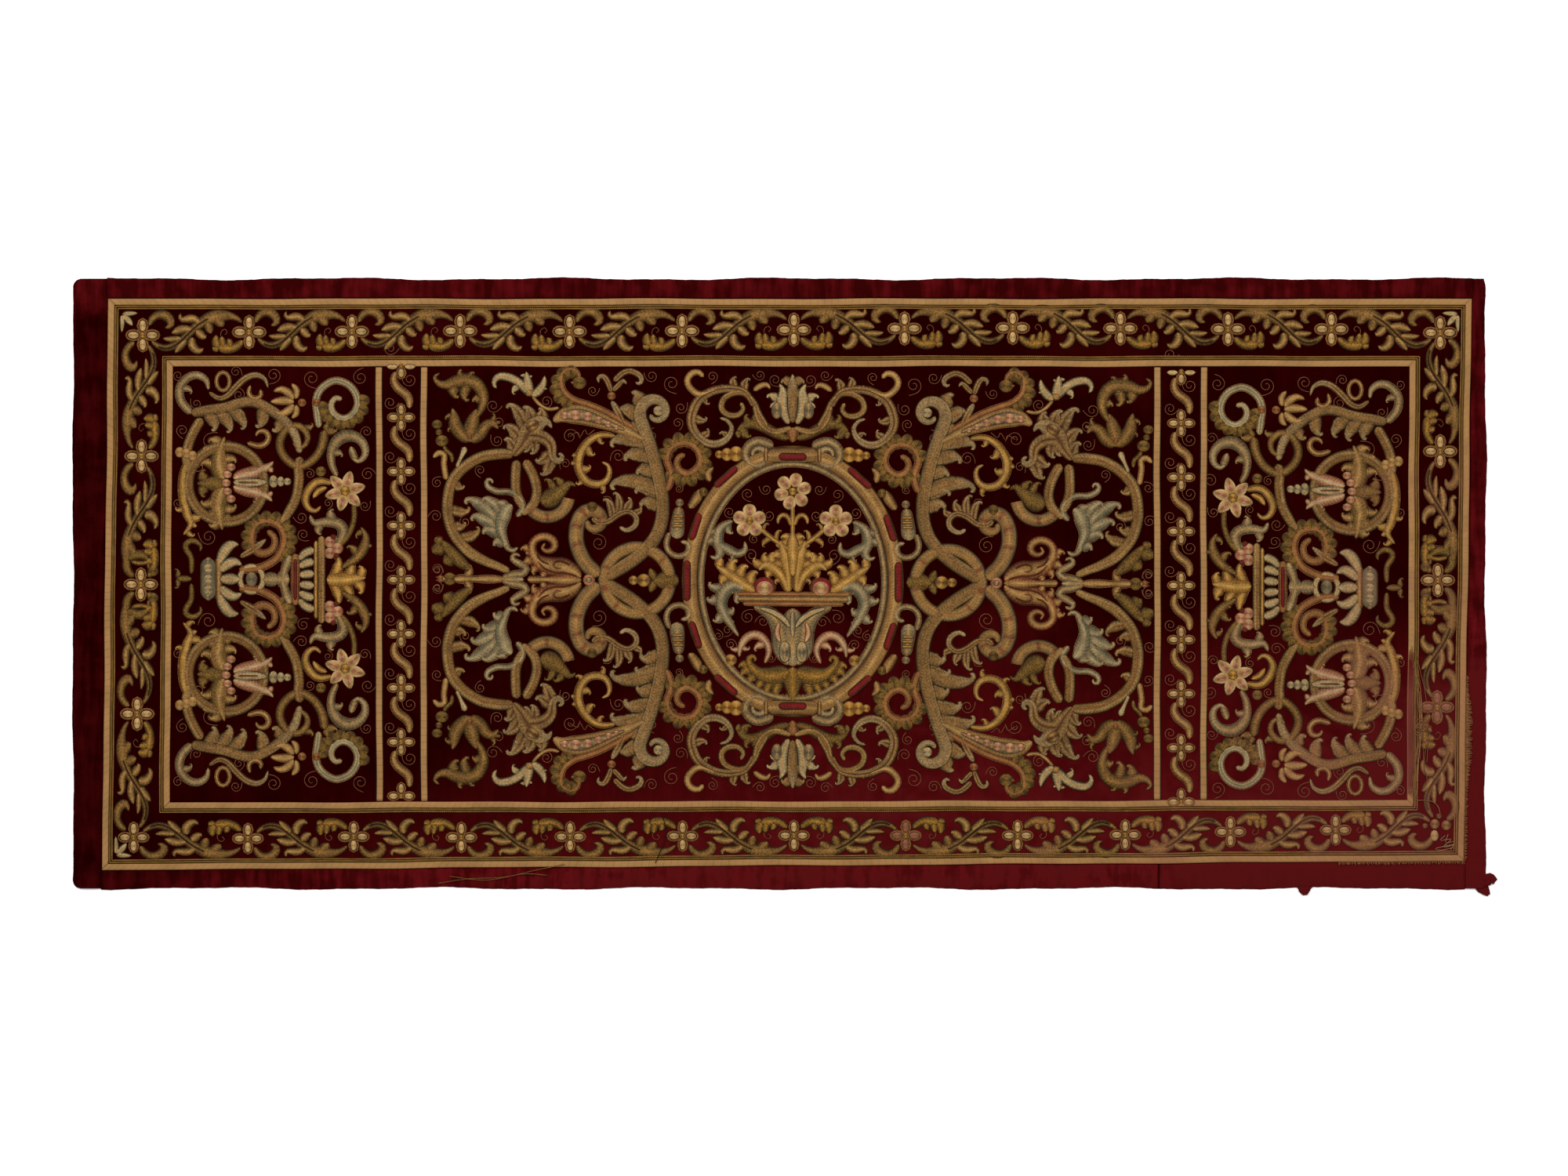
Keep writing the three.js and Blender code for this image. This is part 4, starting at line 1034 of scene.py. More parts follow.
# Stems, ring, half rings and leaves of the centre field
SCROLLWORK = [
    Stroke("striped", [(-455, 215), (-480, 215), (-510, 209), (-540, 190), (-558, 165), (-564, 130),
        (-560, 100), (-550, 78), (-530, 55), (-505, 40), (-480, 30), (-462, 22)], 17,
        tips=[(-540, 158), (-530, 120), (-512, 88), (-536, 96)], leaf=13),
    Stroke("cream", [(-566, 172), (-570, 200), (-568, 212), (-578, 217), (-587, 208)], 8),
    Stroke("white", [(-549, 192, 6), (-541, 210, 6), (-534, 226, 13)], tail=1),
    Stroke("olive", [(-526, 24, 8), (-548, 42, 20), (-574, 72, 10)],
        tips=[(-589, 52), (-586, 74), (-560, 66), (-545, 52), (-570, 34)], leaf=17, hook=0),
    Stroke("striped", [(-450, 205), (-452, 175), (-450, 150), (-438, 124)], 15),
    Stroke("striped", [(-437, 205), (-425, 185), (-418, 165), (-417, 150), (-423, 132), (-442, 116)], 15),
    Stroke("leaf", [(-456, 212, 10), (-442, 230, 20), (-430, 250, 34), (-414, 266, 27), (-399, 268, 13),
        (-392, 258, 6)],
        tips=[(-458, 296), (-466, 262), (-464, 240), (-432, 292), (-408, 288), (-446, 278)], leaf=17),
    Stroke("leaf", [(-432, 246, 22), (-410, 244, 22), (-394, 232, 18), (-392, 212, 13)], 11, (11, 0.8, 1),
        tips=[(-404, 182), (-414, 202), (-421, 218), (-432, 222)], leaf=16),
    Dots("tan", 11, 7, [(-424, 262)], 30, 1.4),
    Dots("brown dot", 3.4, 3, [(-422, 263)], 0, 2.4),
    Hoop("ticked", (-400, 148), 36, 36, 19, 215, 352),
    Stroke("olive", [(-412, 140, 14), (-396, 142, 32), (-376, 156, 18), (-362, 168, 9), (-353, 162, 4)],
        tips=[(-398, 174), (-384, 176)], leaf=10),
    Stroke("ticked", [(-314, 16), (-336, 36), (-350, 64), (-352, 92), (-346, 112)], 24, (22, 1.0, -1)),
    Dots("moss", 9, 9, [(-326, 128)]),
    Stroke("leaf", [(-326, 112), (-317, 104), (-300, 105), (-281, 118), (-265, 122), (-253, 112),
        (-256, 98), (-270, 91), (-281, 97)], 9, tips=[(-301, 142), (-284, 151), (-262, 141), (-245, 126)],
        leaf=11),
    Stroke("acanthus", [(-304, 12), (-290, 22), (-262, 40), (-240, 58), (-225, 75), (-215, 95),
        (-210, 120), (-212, 155), (-221, 198), (-233, 238), (-247, 276)], 21, (27, 1.0, -1),
        tips=[(-254, 318), (-277, 292), (-292, 238), (-270, 214), (-290, 170), (-252, 160), (-243, 138),
        (-250, 190), (-262, 262)], leaf=19),
    Dots("white", 8, 8, [(-217, 288)]),
    Stroke("cream", [(-240, 240, 6), (-262, 251, 12), (-300, 267, 22), (-340, 280, 31), (-370, 280, 27),
        (-390, 270, 12)]),
    Stroke("grey", [(-272, 256, 4), (-300, 267, 9), (-340, 280, 17), (-368, 280, 15), (-380, 276, 6)],
        lift=0.9),
    Dots("pink", 6, 6, [(-371, 279)], 0, 1.3),
    Dots("pink", 9, 8, [(-353, 280)], 0, 1.3),
    Dots("pink", 8, 7, [(-333, 278)], 0, 1.3),
    Dots("pink", 7, 6, [(-315, 272)], 0, 1.3),
    Dots("pink", 5.5, 5, [(-299, 265)], 0, 1.3),
    Dots("pink", 4.5, 4, [(-286, 260)], 0, 1.3),
    Stroke("orange", [(-258, 260), (-300, 284), (-330, 297), (-355, 305), (-372, 318), (-378, 335)], 9,
        (20, 0.85, -1)),
    *scallops("olive", -358, 326, 26, 12, 10, 6, 95, 250),
    Dots("olive", 11, 10, [(-347, 333)]),
    Stroke("leaf", [(-272, 262, 6), (-283, 285, 11), (-294, 304, 8)]),
    Dots("orange", 6, 6, [(-294, 312)]),
    Stroke("leaf", [(-294, 318, 7), (-300, 335, 9), (-308, 345, 8), (-317, 341, 6), (-314, 333, 4)]),
    Stroke("leaf", [(-292, 320, 7), (-282, 330, 8), (-274, 338, 6), (-269, 331, 4)]),
    Stroke("leaf", [(-290, 336), (-275, 350), (-262, 353), (-247, 346)], 9, (10, 0.6, -1)),
    Stroke("cream", [(-380, 292), (-396, 289), (-411, 296), (-425, 311)], 4),
    Stroke("white", [(-427, 312, 9), (-437, 324, 14), (-451, 336, 13), (-466, 342, 13), (-481, 342, 11),
        (-488, 331, 8), (-483, 323, 7)], tips=[(-457, 318)], leaf=9),
    Stroke("white", [(-427, 310, 12), (-432, 330, 16), (-434, 351, 4)], tips=[(-444, 344), (-424, 344)],
        leaf=8),
    Stroke("white", [(-426, 311, 10), (-413, 320, 14), (-405, 334, 9), (-404, 344, 4)],
        tips=[(-400, 322)], leaf=8),
    Dots("cream", 6, 4, [(-429, 316)], 40, 1.2),
]
# What lies on the centre field's long axis
SCROLLWORK_AXIS = [
    Stroke("tan", [(-577, 9, 5), (-568, 9, 7), (-553, 9, 8), (-541, 9, 15), (-522, 9, 9), (-500, 9, 13),
        (-465, 9, 10)], tips=[(-526, 30), (-526, -12)], leaf=9),
    Dots("olive", 10, 10, [(-560, 9)]),
    Dots("orange", 5, 5, [(-575, 9)]),
    Stroke("grey", [(-476, 9, 6), (-456, 9, 13), (-438, 9, 6)]),
    Stroke("tan", [(-432, 9, 9), (-416, 9, 10), (-394, 9, 5)], lift=0.5),
    Stroke("palm", [(-404, 9, 6), (-384, 9, 17), (-362, 9, 19), (-343, 9, 10)], lift=0.4),
    Dots("rose", 9, 9, [(-331, 9)]),
    Dots("white", 4, 4, [(-331, 9)], 0, 1.6),
    Hoop("ring", (-252, 9), 54, 54, 19),
    Stroke("olive", [(-183, 9, 12), (-200, 9, 32), (-214, 9, 24), (-226, 9, 6)],
        tips=[(-230, 27), (-230, -9)], leaf=10),
    Dots("gold", 7, 7, [(-258, 9)]),
    Dots("gold", 10, 10, [(-241, 9)]),
]
# Fan of folds over the scrollwork
PALMETTE = [
    Stroke("palm", [(-344, 13, 10), (-357, 22, 24), (-374, 28, 33), (-393, 30, 30), (-411, 36, 24),
        (-422, 48, 16), (-425, 65, 12), (-416, 77, 12), (-401, 80, 12), (-389, 73, 12), (-388, 61, 11),
        (-399, 55, 9), (-408, 61, 7), (-403, 69, 5)],
        tips=[(-437, 38), (-436, 52), (-424, 22), (-408, 14), (-440, 62)], leaf=13),
    Stroke("vein", [(-350, 14), (-368, 20), (-388, 21), (-404, 27), (-416, 40)], 1.4, lift=0.9),
    Stroke("vein", [(-362, 33), (-378, 40), (-390, 36), (-386, 28), (-376, 28)], 1.4, lift=0.9),
    Stroke("vein", [(-396, 34), (-410, 40), (-417, 52)], 1.4, lift=0.9),
    Stroke("grey", [(-474, 12, 5), (-455, 17, 12), (-440, 19, 12), (-434, 28, 11), (-448, 36, 10),
        (-458, 44, 8), (-452, 51, 6), (-444, 47, 4)]),
]
# Flower in a corner of the centre field
CORNER_TULIP = [
    Stroke("vine", [(-517, 274, 6), (-507, 292, 12), (-505, 310, 17), (-514, 328, 20), (-531, 336, 22),
        (-550, 333, 20), (-566, 328, 14), (-579, 331, 10), (-585, 341, 7), (-577, 347, 5)],
        tips=[(-552, 309), (-536, 305), (-520, 306), (-525, 348), (-545, 349)], leaf=14),
    Stroke("vine", [(-527, 236, 12), (-540, 246, 20), (-551, 262, 21), (-553, 278, 13), (-556, 290, 4)],
        tips=[(-566, 276), (-562, 256)], leaf=10),
    Stroke("vine", [(-527, 236, 12), (-512, 246, 20), (-500, 262, 16), (-489, 266, 12), (-480, 256, 5)],
        tips=[(-486, 278), (-478, 268)], leaf=10),
    Stroke("vine", [(-527, 234, 14), (-526, 254, 24), (-520, 275, 17), (-516, 289, 5)]),
    Dots("orange", 4, 4, [(-527, 244)], 0, 1.2),
    Dots("olive", 8, 7, [(-581, 263)]),
    Dots("olive", 10, 9, [(-573, 236)]),
    Dots("olive", 5, 5, [(-578, 250)]),
    Stroke("olive", [(-570, 228), (-566, 220), (-557, 212), (-556, 200)], 6),
]
# Head of leaves beside the medallion
ACANTHUS_HEAD = [
    Stroke("teal", [(-462, 57, 6), (-470, 72, 11), (-477, 92, 20), (-471, 118, 26), (-458, 132, 15)],
        tips=[(-527, 141), (-500, 142), (-519, 113), (-503, 90), (-486, 70), (-478, 136)], leaf=18),
    Stroke("teal", [(-450, 112, 8), (-440, 127, 10), (-447, 145, 10), (-463, 153, 9), (-482, 153, 9),
        (-497, 160, 8)], 8, (9, 0.8, -1)),
    Stroke("teal", [(-471, 72, 6), (-467, 62, 7), (-456, 56, 6), (-448, 62, 4)]),
]
# Gold scroll between the stems
GOLD_SCROLL = [
    Stroke("gold", [(-288, 246, 7), (-310, 248, 9), (-330, 239, 11), (-343, 222, 13), (-349, 205, 14),
        (-346, 186, 13), (-335, 171, 12), (-318, 166, 11), (-303, 172, 9), (-297, 186, 8), (-300, 198, 6),
        (-310, 203, 4)],
        tips=[(-359, 214), (-361, 200), (-348, 166), (-306, 155), (-312, 234), (-326, 214), (-330, 192)],
        leaf=10),
]
# Wheel with lobes round it, and its stem
WHEEL_SCROLL = [
    *scallops("olive", -174, 208, 33, 13, 10, 11, 165, -130),
    Stroke("orange", [(-204, 156), (-197, 173), (-197, 190), (-203, 206), (-200, 222), (-186, 234),
        (-168, 235), (-153, 226), (-147, 209), (-152, 195), (-166, 185), (-180, 188), (-187, 200),
        (-183, 212), (-173, 216)], 11),
]
# Half of the crest over the medallion
CREST = [
    Stroke("cream", [(-122, 324), (-148, 315), (-164, 325), (-170, 338), (-162, 350), (-150, 352),
        (-143, 344)], 9),
    Stroke("leaf", [(-60, 296, 8), (-72, 318, 10), (-92, 325, 12), (-118, 324, 13), (-140, 315, 14),
        (-155, 300, 15), (-163, 275, 15), (-158, 255, 14), (-142, 238, 13), (-122, 234, 12),
        (-104, 243, 11), (-96, 260, 9), (-104, 273, 8), (-116, 277, 6)],
        tips=[(-113, 333), (-94, 343), (-72, 341), (-138, 300), (-140, 272), (-134, 254), (-112, 254)],
        leaf=11),
    Stroke("striped", [(-38, 262), (-52, 285), (-60, 303), (-76, 318), (-94, 318), (-110, 308),
        (-113, 292), (-102, 282), (-86, 282), (-77, 292), (-82, 303)], 9),
    Stroke("cream", [(-60, 322, 6), (-50, 330, 8), (-38, 333, 6), (-33, 325, 4)]),
    Stroke("striped", [(-58, 300), (-52, 276), (-40, 261), (-22, 255), (2, 262)], 10),
    Stroke("white", [(-2, 268, 8), (-10, 284, 14), (-14, 304, 18), (-12, 322, 12), (-18, 334, 5)],
        tips=[(-34, 316), (-30, 300)], leaf=12),
    Dots("grey", 8, 13, [(-22, 290)], 0, 0.6),
    Stroke("olive", [(-2, 244, 8), (-20, 250, 14), (-42, 262, 17), (-60, 268, 16), (-78, 264, 11),
        (-88, 254, 4)], tips=[(-58, 284), (-74, 280), (-70, 246), (-84, 244)], leaf=12, lift=-0.4),
]
CREST_AXIS = [
    Stroke("orange", [(4, 238, 8), (4, 250, 16), (4, 262, 26)]),
    Stroke("acanthus", [(4, 270, 10), (4, 300, 16), (4, 330, 16), (4, 350, 5)],
        tips=[(-12, 340), (20, 340), (-14, 318), (22, 318)], leaf=14),
]
# Quarter of the medallion's frame
MEDALLION = [
    Stroke("grey", [(-28, 231), (-44, 238)], 14, (24, 1.35, 1)),
    Dots("flame", 11, 12, [(-89, 218)]),
    Dots("flame", 9, 10, [(-104, 217)]),
    Dots("flame", 6, 6, [(-117, 217)]),
    Stroke("grey", [(-183, 130, 13), (-184, 116, 18), (-186, 96, 22), (-187, 78, 23)], head=1, tail=1),
    bar("flame", (-193, 115), (-175, 115), 3, 1.6),
    bar("flame", (-194, 107), (-175, 107), 3, 1.6),
    bar("flame", (-195, 99), (-176, 99), 3, 1.6),
    Dots("grey", 6, 6, [(-182, 137)]),
    Stroke("grey", [(-199, 88), (-204, 68), (-196, 53), (-180, 49), (-167, 57), (-168, 70), (-180, 73)],
        8),
    Dots("moss", 7, 7, [(-143, 155)], 0, 0.3),
    Dots("tan", 3, 3, [(-143, 155)], 0, 1.6),
    Stroke("strap", [(-166, 128, 10), (-152, 148, 16), (-150, 160, 4)], lift=-0.3),
    Stroke("strap", [(-132, 172, 8), (-136, 186, 12), (-126, 196, 4)], lift=-0.3),
    bar("red", (-163, 76), (-149, 120), 10, 1.3),
    bar("red", (-124, 164), (-88, 196), 10, 1.3),
]
MEDALLION_RINGS = [
    Hoop("strap", (4, 9), 169, 210, 25),
    Hoop("grey", (4, 9), 151, 193, 9),
    bar("red", (-170, -24), (-170, 42), 11, 1.3),
    bar("red", (178, -24), (178, 42), 11, 1.3),
]
MEDALLION_BAR = [
    bar("strap", (-38, 217), (46, 217), 24, 0.3),
    bar("red", (-19, 214), (27, 214), 11, 1.4),
    bar("tan", (-40, 205), (-40, 229), 5, 1.2),
    bar("tan", (48, 205), (48, 229), 5, 1.2),
]
# Half of the medallion's urn and its flowers
BOUQUET = [
    Stroke("gold", [(2, 60), (-25, 76), (-45, 92), (-60, 103)], 6,
        tips=[(-46, 70), (-20, 92), (-40, 104)], leaf=6),
    *rosette("pink", -67, 108, 5, 16, 12, 11, 6),
    Stroke("gold", [(2, 100, 5), (-3, 114, 6), (-12, 119, 6), (-20, 112, 5), (-20, 103, 4)]),
    Stroke("flame", [(-2, -8, 9), (-4, 20, 15), (-8, 48, 20), (-17, 76, 5)],
        tips=[(-26, 52), (-24, 68), (3, 76), (-30, 36), (2, 60)], leaf=14),
    Stroke("flame", [(-4, -8, 9), (-12, 14, 15), (-26, 30, 19), (-42, 36, 14), (-52, 27, 4)],
        tips=[(-44, 52), (-30, 54), (-60, 42), (-38, 18), (-24, 10)], leaf=13),
    Stroke("flame", [(-58, -8, 16), (-78, 4, 22), (-98, 18, 18), (-122, 34, 5)],
        tips=[(-60, 24), (-76, 34), (-94, 42), (-114, 46), (-114, 8), (-96, -6)], leaf=15),
    Dots("red", 18, 15, [(-42, 0)], 0, 0.2),
    Dots("pink", 14, 12, [(-42, -2)], 0, 0.9),
    Dots("ivory", 7, 9, [(-42, -2)], 0, 1.7),
    Stroke("teal", [(-95, 108, 6), (-114, 96, 14), (-120, 76, 18), (-114, 58, 15), (-122, 46, 8),
        (-132, 50, 4)], tips=[(-134, 90), (-138, 72), (-100, 88)], leaf=11),
    Stroke("teal", [(-117, 70, 10), (-101, 60, 15), (-86, 54, 12), (-74, 60, 8), (-75, 74, 4)],
        tips=[(-96, 44)], leaf=9),
    Stroke("teal", [(-75, -5, 10), (-92, 2, 20), (-108, -8, 22), (-114, -26, 19), (-108, -46, 15),
        (-96, -65, 9), (-85, -82, 4)],
        tips=[(-90, -22), (-94, -40), (-122, -58), (-132, 0), (-134, -24), (-92, -58)], leaf=13),
    Stroke("pink", [(-42, -126, 4), (-35, -106, 9), (-42, -88, 12), (-56, -79, 13), (-72, -84, 12),
        (-82, -100, 9), (-84, -116, 4)], tips=[(-58, -100), (-70, -104), (-96, -104)], leaf=9),
    Stroke("fan", [(0, -140, 22), (-18, -146, 32), (-38, -147, 28), (-56, -140, 18), (-68, -126, 11)], 11,
        (9, 0.8, -1), tips=[(-24, -178), (-40, -174), (-54, -166), (-68, -156), (-80, -142), (-82, -128)],
        leaf=15),
    Stroke("grey", [(-60, -33, 7), (-42, -39, 16), (-26, -51, 24), (-16, -72, 30), (-13, -96, 32),
        (-11, -114, 24), (-3, -128, 10)]),
    Stroke("white", [(-50, -35, 4), (-28, -42, 9), (-10, -54, 9), (0, -68, 4)], lift=1.0),
    Stroke("pink", [(-18, -58, 4), (-22, -76, 9), (-16, -92, 4)], lift=1.1),
    Dots("gold", 9, 9, [(-98, -121)]),
]
BOUQUET_AXIS = [
    Stroke("gold", [(4, 20, 8), (4, 60, 6), (4, 150, 5)]),
    Stroke("flame", [(4, 18, 14), (4, 58, 24), (4, 92, 6)],
        tips=[(-12, 84), (20, 84), (-14, 66), (22, 66)], leaf=11, lift=0.4),
    *rosette("pink", 4, 157, 6, 19, 12, 10.5, 6),
    Stroke("grey", [(4, -36, 20), (4, -60, 34), (4, -90, 40), (4, -118, 30), (4, -131, 14)], head=1),
    Stroke("teal", [(4, -40, 5), (4, -62, 9), (4, -84, 5)], lift=0.9),
    Dots("white", 9, 17, [(-9, -107), (19, -107)], 0, 1.0),
    Dots("grey", 5, 11, [(-9, -108), (19, -108)], 0, 1.9),
    bar("orange", (-78, -28), (88, -28), 6),
    bar("tan", (-86, -20), (96, -20), 9),
    bar("orange", (-88, -12), (98, -12), 6, 0.4),
    Stroke("fan", [(4, -132, 16), (4, -150, 34), (4, -168, 22), (4, -190, 5)],
        tips=[(-10, -182), (18, -182)], leaf=12, lift=0.3),
]
# Upper half of an end panel's scrolls
END_SCROLL = [
    Stroke("acanthus", [(-985, 278), (-960, 283), (-930, 288), (-900, 297), (-880, 297), (-862, 289),
        (-845, 278), (-830, 265), (-815, 245), (-806, 214)], 16,
        tips=[(-945, 254), (-920, 252), (-897, 258), (-872, 258), (-846, 250)], leaf=16),
    Stroke("grey", [(-985, 278, 12), (-1002, 298, 13), (-1004, 320, 13), (-991, 337, 12), (-974, 341, 11),
        (-960, 332, 9), (-957, 317, 6)], tips=[(-985, 316)], leaf=8),
    Stroke("striped", [(-968, 270), (-980, 250), (-989, 230), (-993, 208), (-990, 180)], 15),
    Stroke("gold", [(-994, 196, 9), (-999, 172, 13), (-999, 142, 14), (-992, 112, 13), (-986, 96, 9),
        (-998, 78, 4)], tips=[(-1008, 118), (-970, 108), (-976, 92), (-984, 76), (-1008, 150)], leaf=10),
    Dots("cream", 7, 8, [(-993, 212), (-1004, 214), (-983, 208)], 0, 0.8),
    Hoop("striped", (-928, 162), 62, 62, 16),
    Stroke("lobe", [(-932, 170, 26), (-940, 194, 30), (-938, 218, 18), (-930, 240, 5)],
        tips=[(-962, 222), (-914, 222), (-966, 198), (-914, 204), (-952, 236)], leaf=15),
    Stroke("lobe", [(-932, 156, 26), (-940, 132, 30), (-938, 108, 18), (-934, 86, 5)],
        tips=[(-962, 106), (-916, 104), (-966, 128), (-914, 122), (-952, 92)], leaf=15),
    Stroke("olive", [(-926, 163, 20), (-944, 163, 26), (-958, 163, 18), (-976, 163, 5)],
        tips=[(-968, 182), (-968, 144)], leaf=13),
    Dots("pink", 7, 6, [(-920, 190), (-926, 178), (-928, 164), (-926, 150), (-920, 138)], 0, 1.0),
    Stroke("pink", [(-916, 172, 12), (-898, 177, 20), (-876, 184, 18), (-858, 192, 9), (-850, 200, 4)],
        tips=[(-864, 172), (-878, 198), (-852, 182)], leaf=11),
    Stroke("pink", [(-916, 158, 12), (-898, 154, 20), (-876, 148, 18), (-860, 142, 9), (-852, 134, 4)],
        tips=[(-864, 158), (-878, 134), (-852, 150)], leaf=11),
    Stroke("white", [(-916, 165, 8), (-898, 165, 16), (-878, 165, 13), (-860, 166, 8)], lift=0.5),
    Stroke("vein", [(-908, 165), (-890, 165), (-874, 165)], 1.4, lift=1.4),
    Dots("white", 7, 10, [(-850, 167)]),
    Dots("white", 6, 8, [(-838, 167)]),
    Dots("white", 6, 6, [(-827, 167)]),
    Stroke("tan", [(-893, 230, 6), (-871, 225, 8), (-858, 236, 8), (-862, 249, 7), (-875, 249, 5),
        (-879, 241, 4)]),
    Stroke("striped", [(-806, 208), (-809, 190), (-808, 170), (-813, 140), (-826, 115), (-838, 98)], 15),
    Stroke("vine", [(-766, 252, 16), (-770, 226, 14), (-785, 203, 13), (-808, 192, 13), (-830, 205, 13),
        (-840, 228, 13), (-830, 252, 12), (-810, 259, 11), (-795, 246, 10), (-796, 230, 9),
        (-808, 222, 7), (-818, 231, 5)], tips=[(-806, 264), (-786, 258), (-760, 264), (-748, 250)],
        leaf=11),
    Stroke("shell", [(-775, 256), (-779, 285), (-780, 300), (-775, 316), (-761, 329), (-745, 334),
        (-725, 326), (-713, 309), (-712, 291), (-722, 276), (-738, 271), (-752, 281), (-755, 295),
        (-748, 305), (-737, 303)], 11),
    *scallops("olive", -738, 298, 34, 12, 10, 8, -165, 5),
    *strokes("cream", [
        [(-816, 298, 7), (-830, 300, 13), (-846, 299, 9), (-855, 298, 4)],
        [(-817, 302, 7), (-825, 313, 12), (-838, 319, 9), (-850, 315, 4)],
        [(-817, 294, 7), (-825, 284, 12), (-838, 278, 9), (-848, 283, 4)],
        [(-813, 303, 6), (-812, 318, 9), (-820, 328, 4)],
        [(-813, 293, 6), (-812, 280, 9), (-820, 271, 4)],
    ]),
    Dots("orange", 6, 6, [(-803, 297), (-779, 297)], 0, 0.8),
    Stroke("leaf", [(-956, 313, 5), (-940, 303, 8), (-925, 308, 9), (-912, 322, 10), (-895, 337, 10),
        (-878, 342, 9), (-864, 335, 7), (-859, 321, 4)]),
    Hoop("tan", (-933, 331), 11, 15, 5),
    Stroke("tan", [(-872, 318, 4), (-870, 308, 6), (-881, 303, 7), (-891, 311, 6), (-888, 325, 4)]),
    *scallops("olive", -857, 72, 34, 13, 10, 11, 195, -50),
    Stroke("orange", [(-906, 22), (-885, 22), (-860, 30), (-841, 45), (-832, 70), (-838, 92), (-855, 102),
        (-875, 99), (-886, 80), (-883, 58), (-868, 48), (-851, 56), (-848, 74), (-860, 86)], 12),
    Stroke("leaf", [(-905, 42, 6), (-882, 56, 12), (-862, 72, 5)]),
]
# Star flower of an end panel, and the leaves round it
END_STAR = [
    Stroke("grey", [(-745, 176, 7), (-754, 195, 10), (-755, 215, 13), (-747, 233, 17), (-731, 243, 19),
        (-712, 240, 15), (-700, 226, 12), (-700, 210, 10), (-711, 201, 8), (-720, 207, 6)],
        tips=[(-738, 214), (-722, 224)], leaf=9),
    Stroke("olive", [(-718, 132), (-717, 110), (-722, 90), (-732, 72), (-745, 60)], 8),
    *rosette("pink", -732, 152, 6, 20, 14, 9, 7, 0.3),
    Stroke("grey", [(-745, 62, 8), (-735, 84, 17), (-742, 98, 16), (-762, 101, 14), (-783, 99, 10),
        (-790, 112, 5)], tips=[(-757, 119), (-777, 83), (-752, 76)], leaf=12),
    Stroke("vine", [(-738, 26, 6), (-716, 40, 14), (-702, 58, 16), (-698, 78, 10), (-706, 93, 5)],
        tips=[(-724, 62), (-688, 62), (-714, 80)], leaf=10),
    Stroke("gold", [(-753, 165, 6), (-775, 168, 11), (-791, 156, 12), (-798, 138, 11), (-792, 123, 8),
        (-780, 119, 6), (-772, 127, 4)]),
    Stroke("flame", [(-762, 158, 4), (-776, 152, 9), (-785, 140, 4)]),
    Dots("olive", 8, 8, [(-772, 184)]),
]
# Upper half of the urn on its side in an end panel
END_URN = [
    Stroke("olive", [(-985, 14, 6), (-985, 40, 8), (-994, 55, 9), (-993, 65, 9), (-981, 69, 8),
        (-969, 60, 6), (-971, 51, 4)]),
    Stroke("white", [(-938, 18, 9), (-928, 29, 17), (-914, 35, 14), (-902, 29, 5)]),
    Stroke("white", [(-940, 30, 9), (-933, 48, 17), (-921, 62, 16), (-907, 63, 5)]),
    Stroke("white", [(-808, 13, 8), (-797, 15, 14), (-783, 16, 13)], tail=1),
    Stroke("white", [(-808, 26, 8), (-797, 33, 14), (-783, 36, 13)], tail=1),
    Stroke("white", [(-808, 38, 8), (-799, 49, 13), (-783, 56, 13)], tail=1),
]
END_URN_AXIS = [
    Stroke("olive", [(-1010, 6, 4), (-998, 6, 10), (-984, 6, 6)], tips=[(-1007, 20), (-1007, -8)],
        leaf=8),
    bar("slate", (-957, -28), (-957, 40), 25),
    Dots("white", 8, 8, [(-957, 24), (-957, 6), (-957, -12)]),
    Dots("teal", 5, 5, [(-957, 36), (-957, -24)]),
    bar("tan", (-940, -29), (-940, 41), 9),
    Stroke("white", [(-938, 6, 10), (-920, 6, 19), (-904, 6, 7)], lift=0.4),
    Dots("slate", 9, 12, [(-886, 6)]),
    Hoop("white", (-886, 6), 19, 21, 9),
    Stroke("grey", [(-868, 6, 22), (-854, 6, 22), (-842, 6, 30)], head=1, tail=1),
    *strokes("grey", [
        [(-836, 6, 5), (-832, 20, 12), (-826, 38, 14), (-822, 46, 10)],
        [(-836, 6, 5), (-832, -8, 12), (-826, -26, 14), (-822, -34, 10)],
        [(-846, 6, 20), (-830, 6, 34), (-824, 6, 30)],
    ]),
    bar("orange", (-814, -36), (-814, 48), 13),
    bar("red", (-814, -28), (-814, 40), 4, 1.2),
    bar("gold", (-780, -58), (-780, 70), 5),
    bar("striped", (-771, -66), (-771, 78), 11),
    Stroke("flame", [(-762, 6, 22), (-735, 6, 26), (-698, 10, 5)],
        tips=[(-704, 26), (-704, -12), (-722, 36), (-722, -24), (-742, 40), (-742, -30)], leaf=13),
    Dots("pink", 9, 9, [(-757, 68), (-757, 50), (-745, 58), (-757, -56), (-757, -38), (-745, -46)], 0,
        0.3),
    Dots("red", 4, 4, [(-752, 76), (-747, 46), (-752, -64), (-747, -34)], 0, 0.8),
]
# Loose threads over the bottom border and its strip
STRIP_THREADS = [
    Thread((), [[(-578, -491), (-530, -484), (-470, -481), (-420, -470), (-371, -460)], [(-560, -480),
        (-500, -486), (-440, -476), (-400, -478)]], "tan", 3.4),
    Thread((), [[(-210, -380), (-204, -410), (-214, -440), (-222, -458)]], "dark", 2.2),
]
# The line of a bundle of silk pulled out of the inner frame's right side
BUNDLE = [(1024, -104), (1029, -140), (1034, -180), (1036, -235), (1034, -290), (1030, -345)]


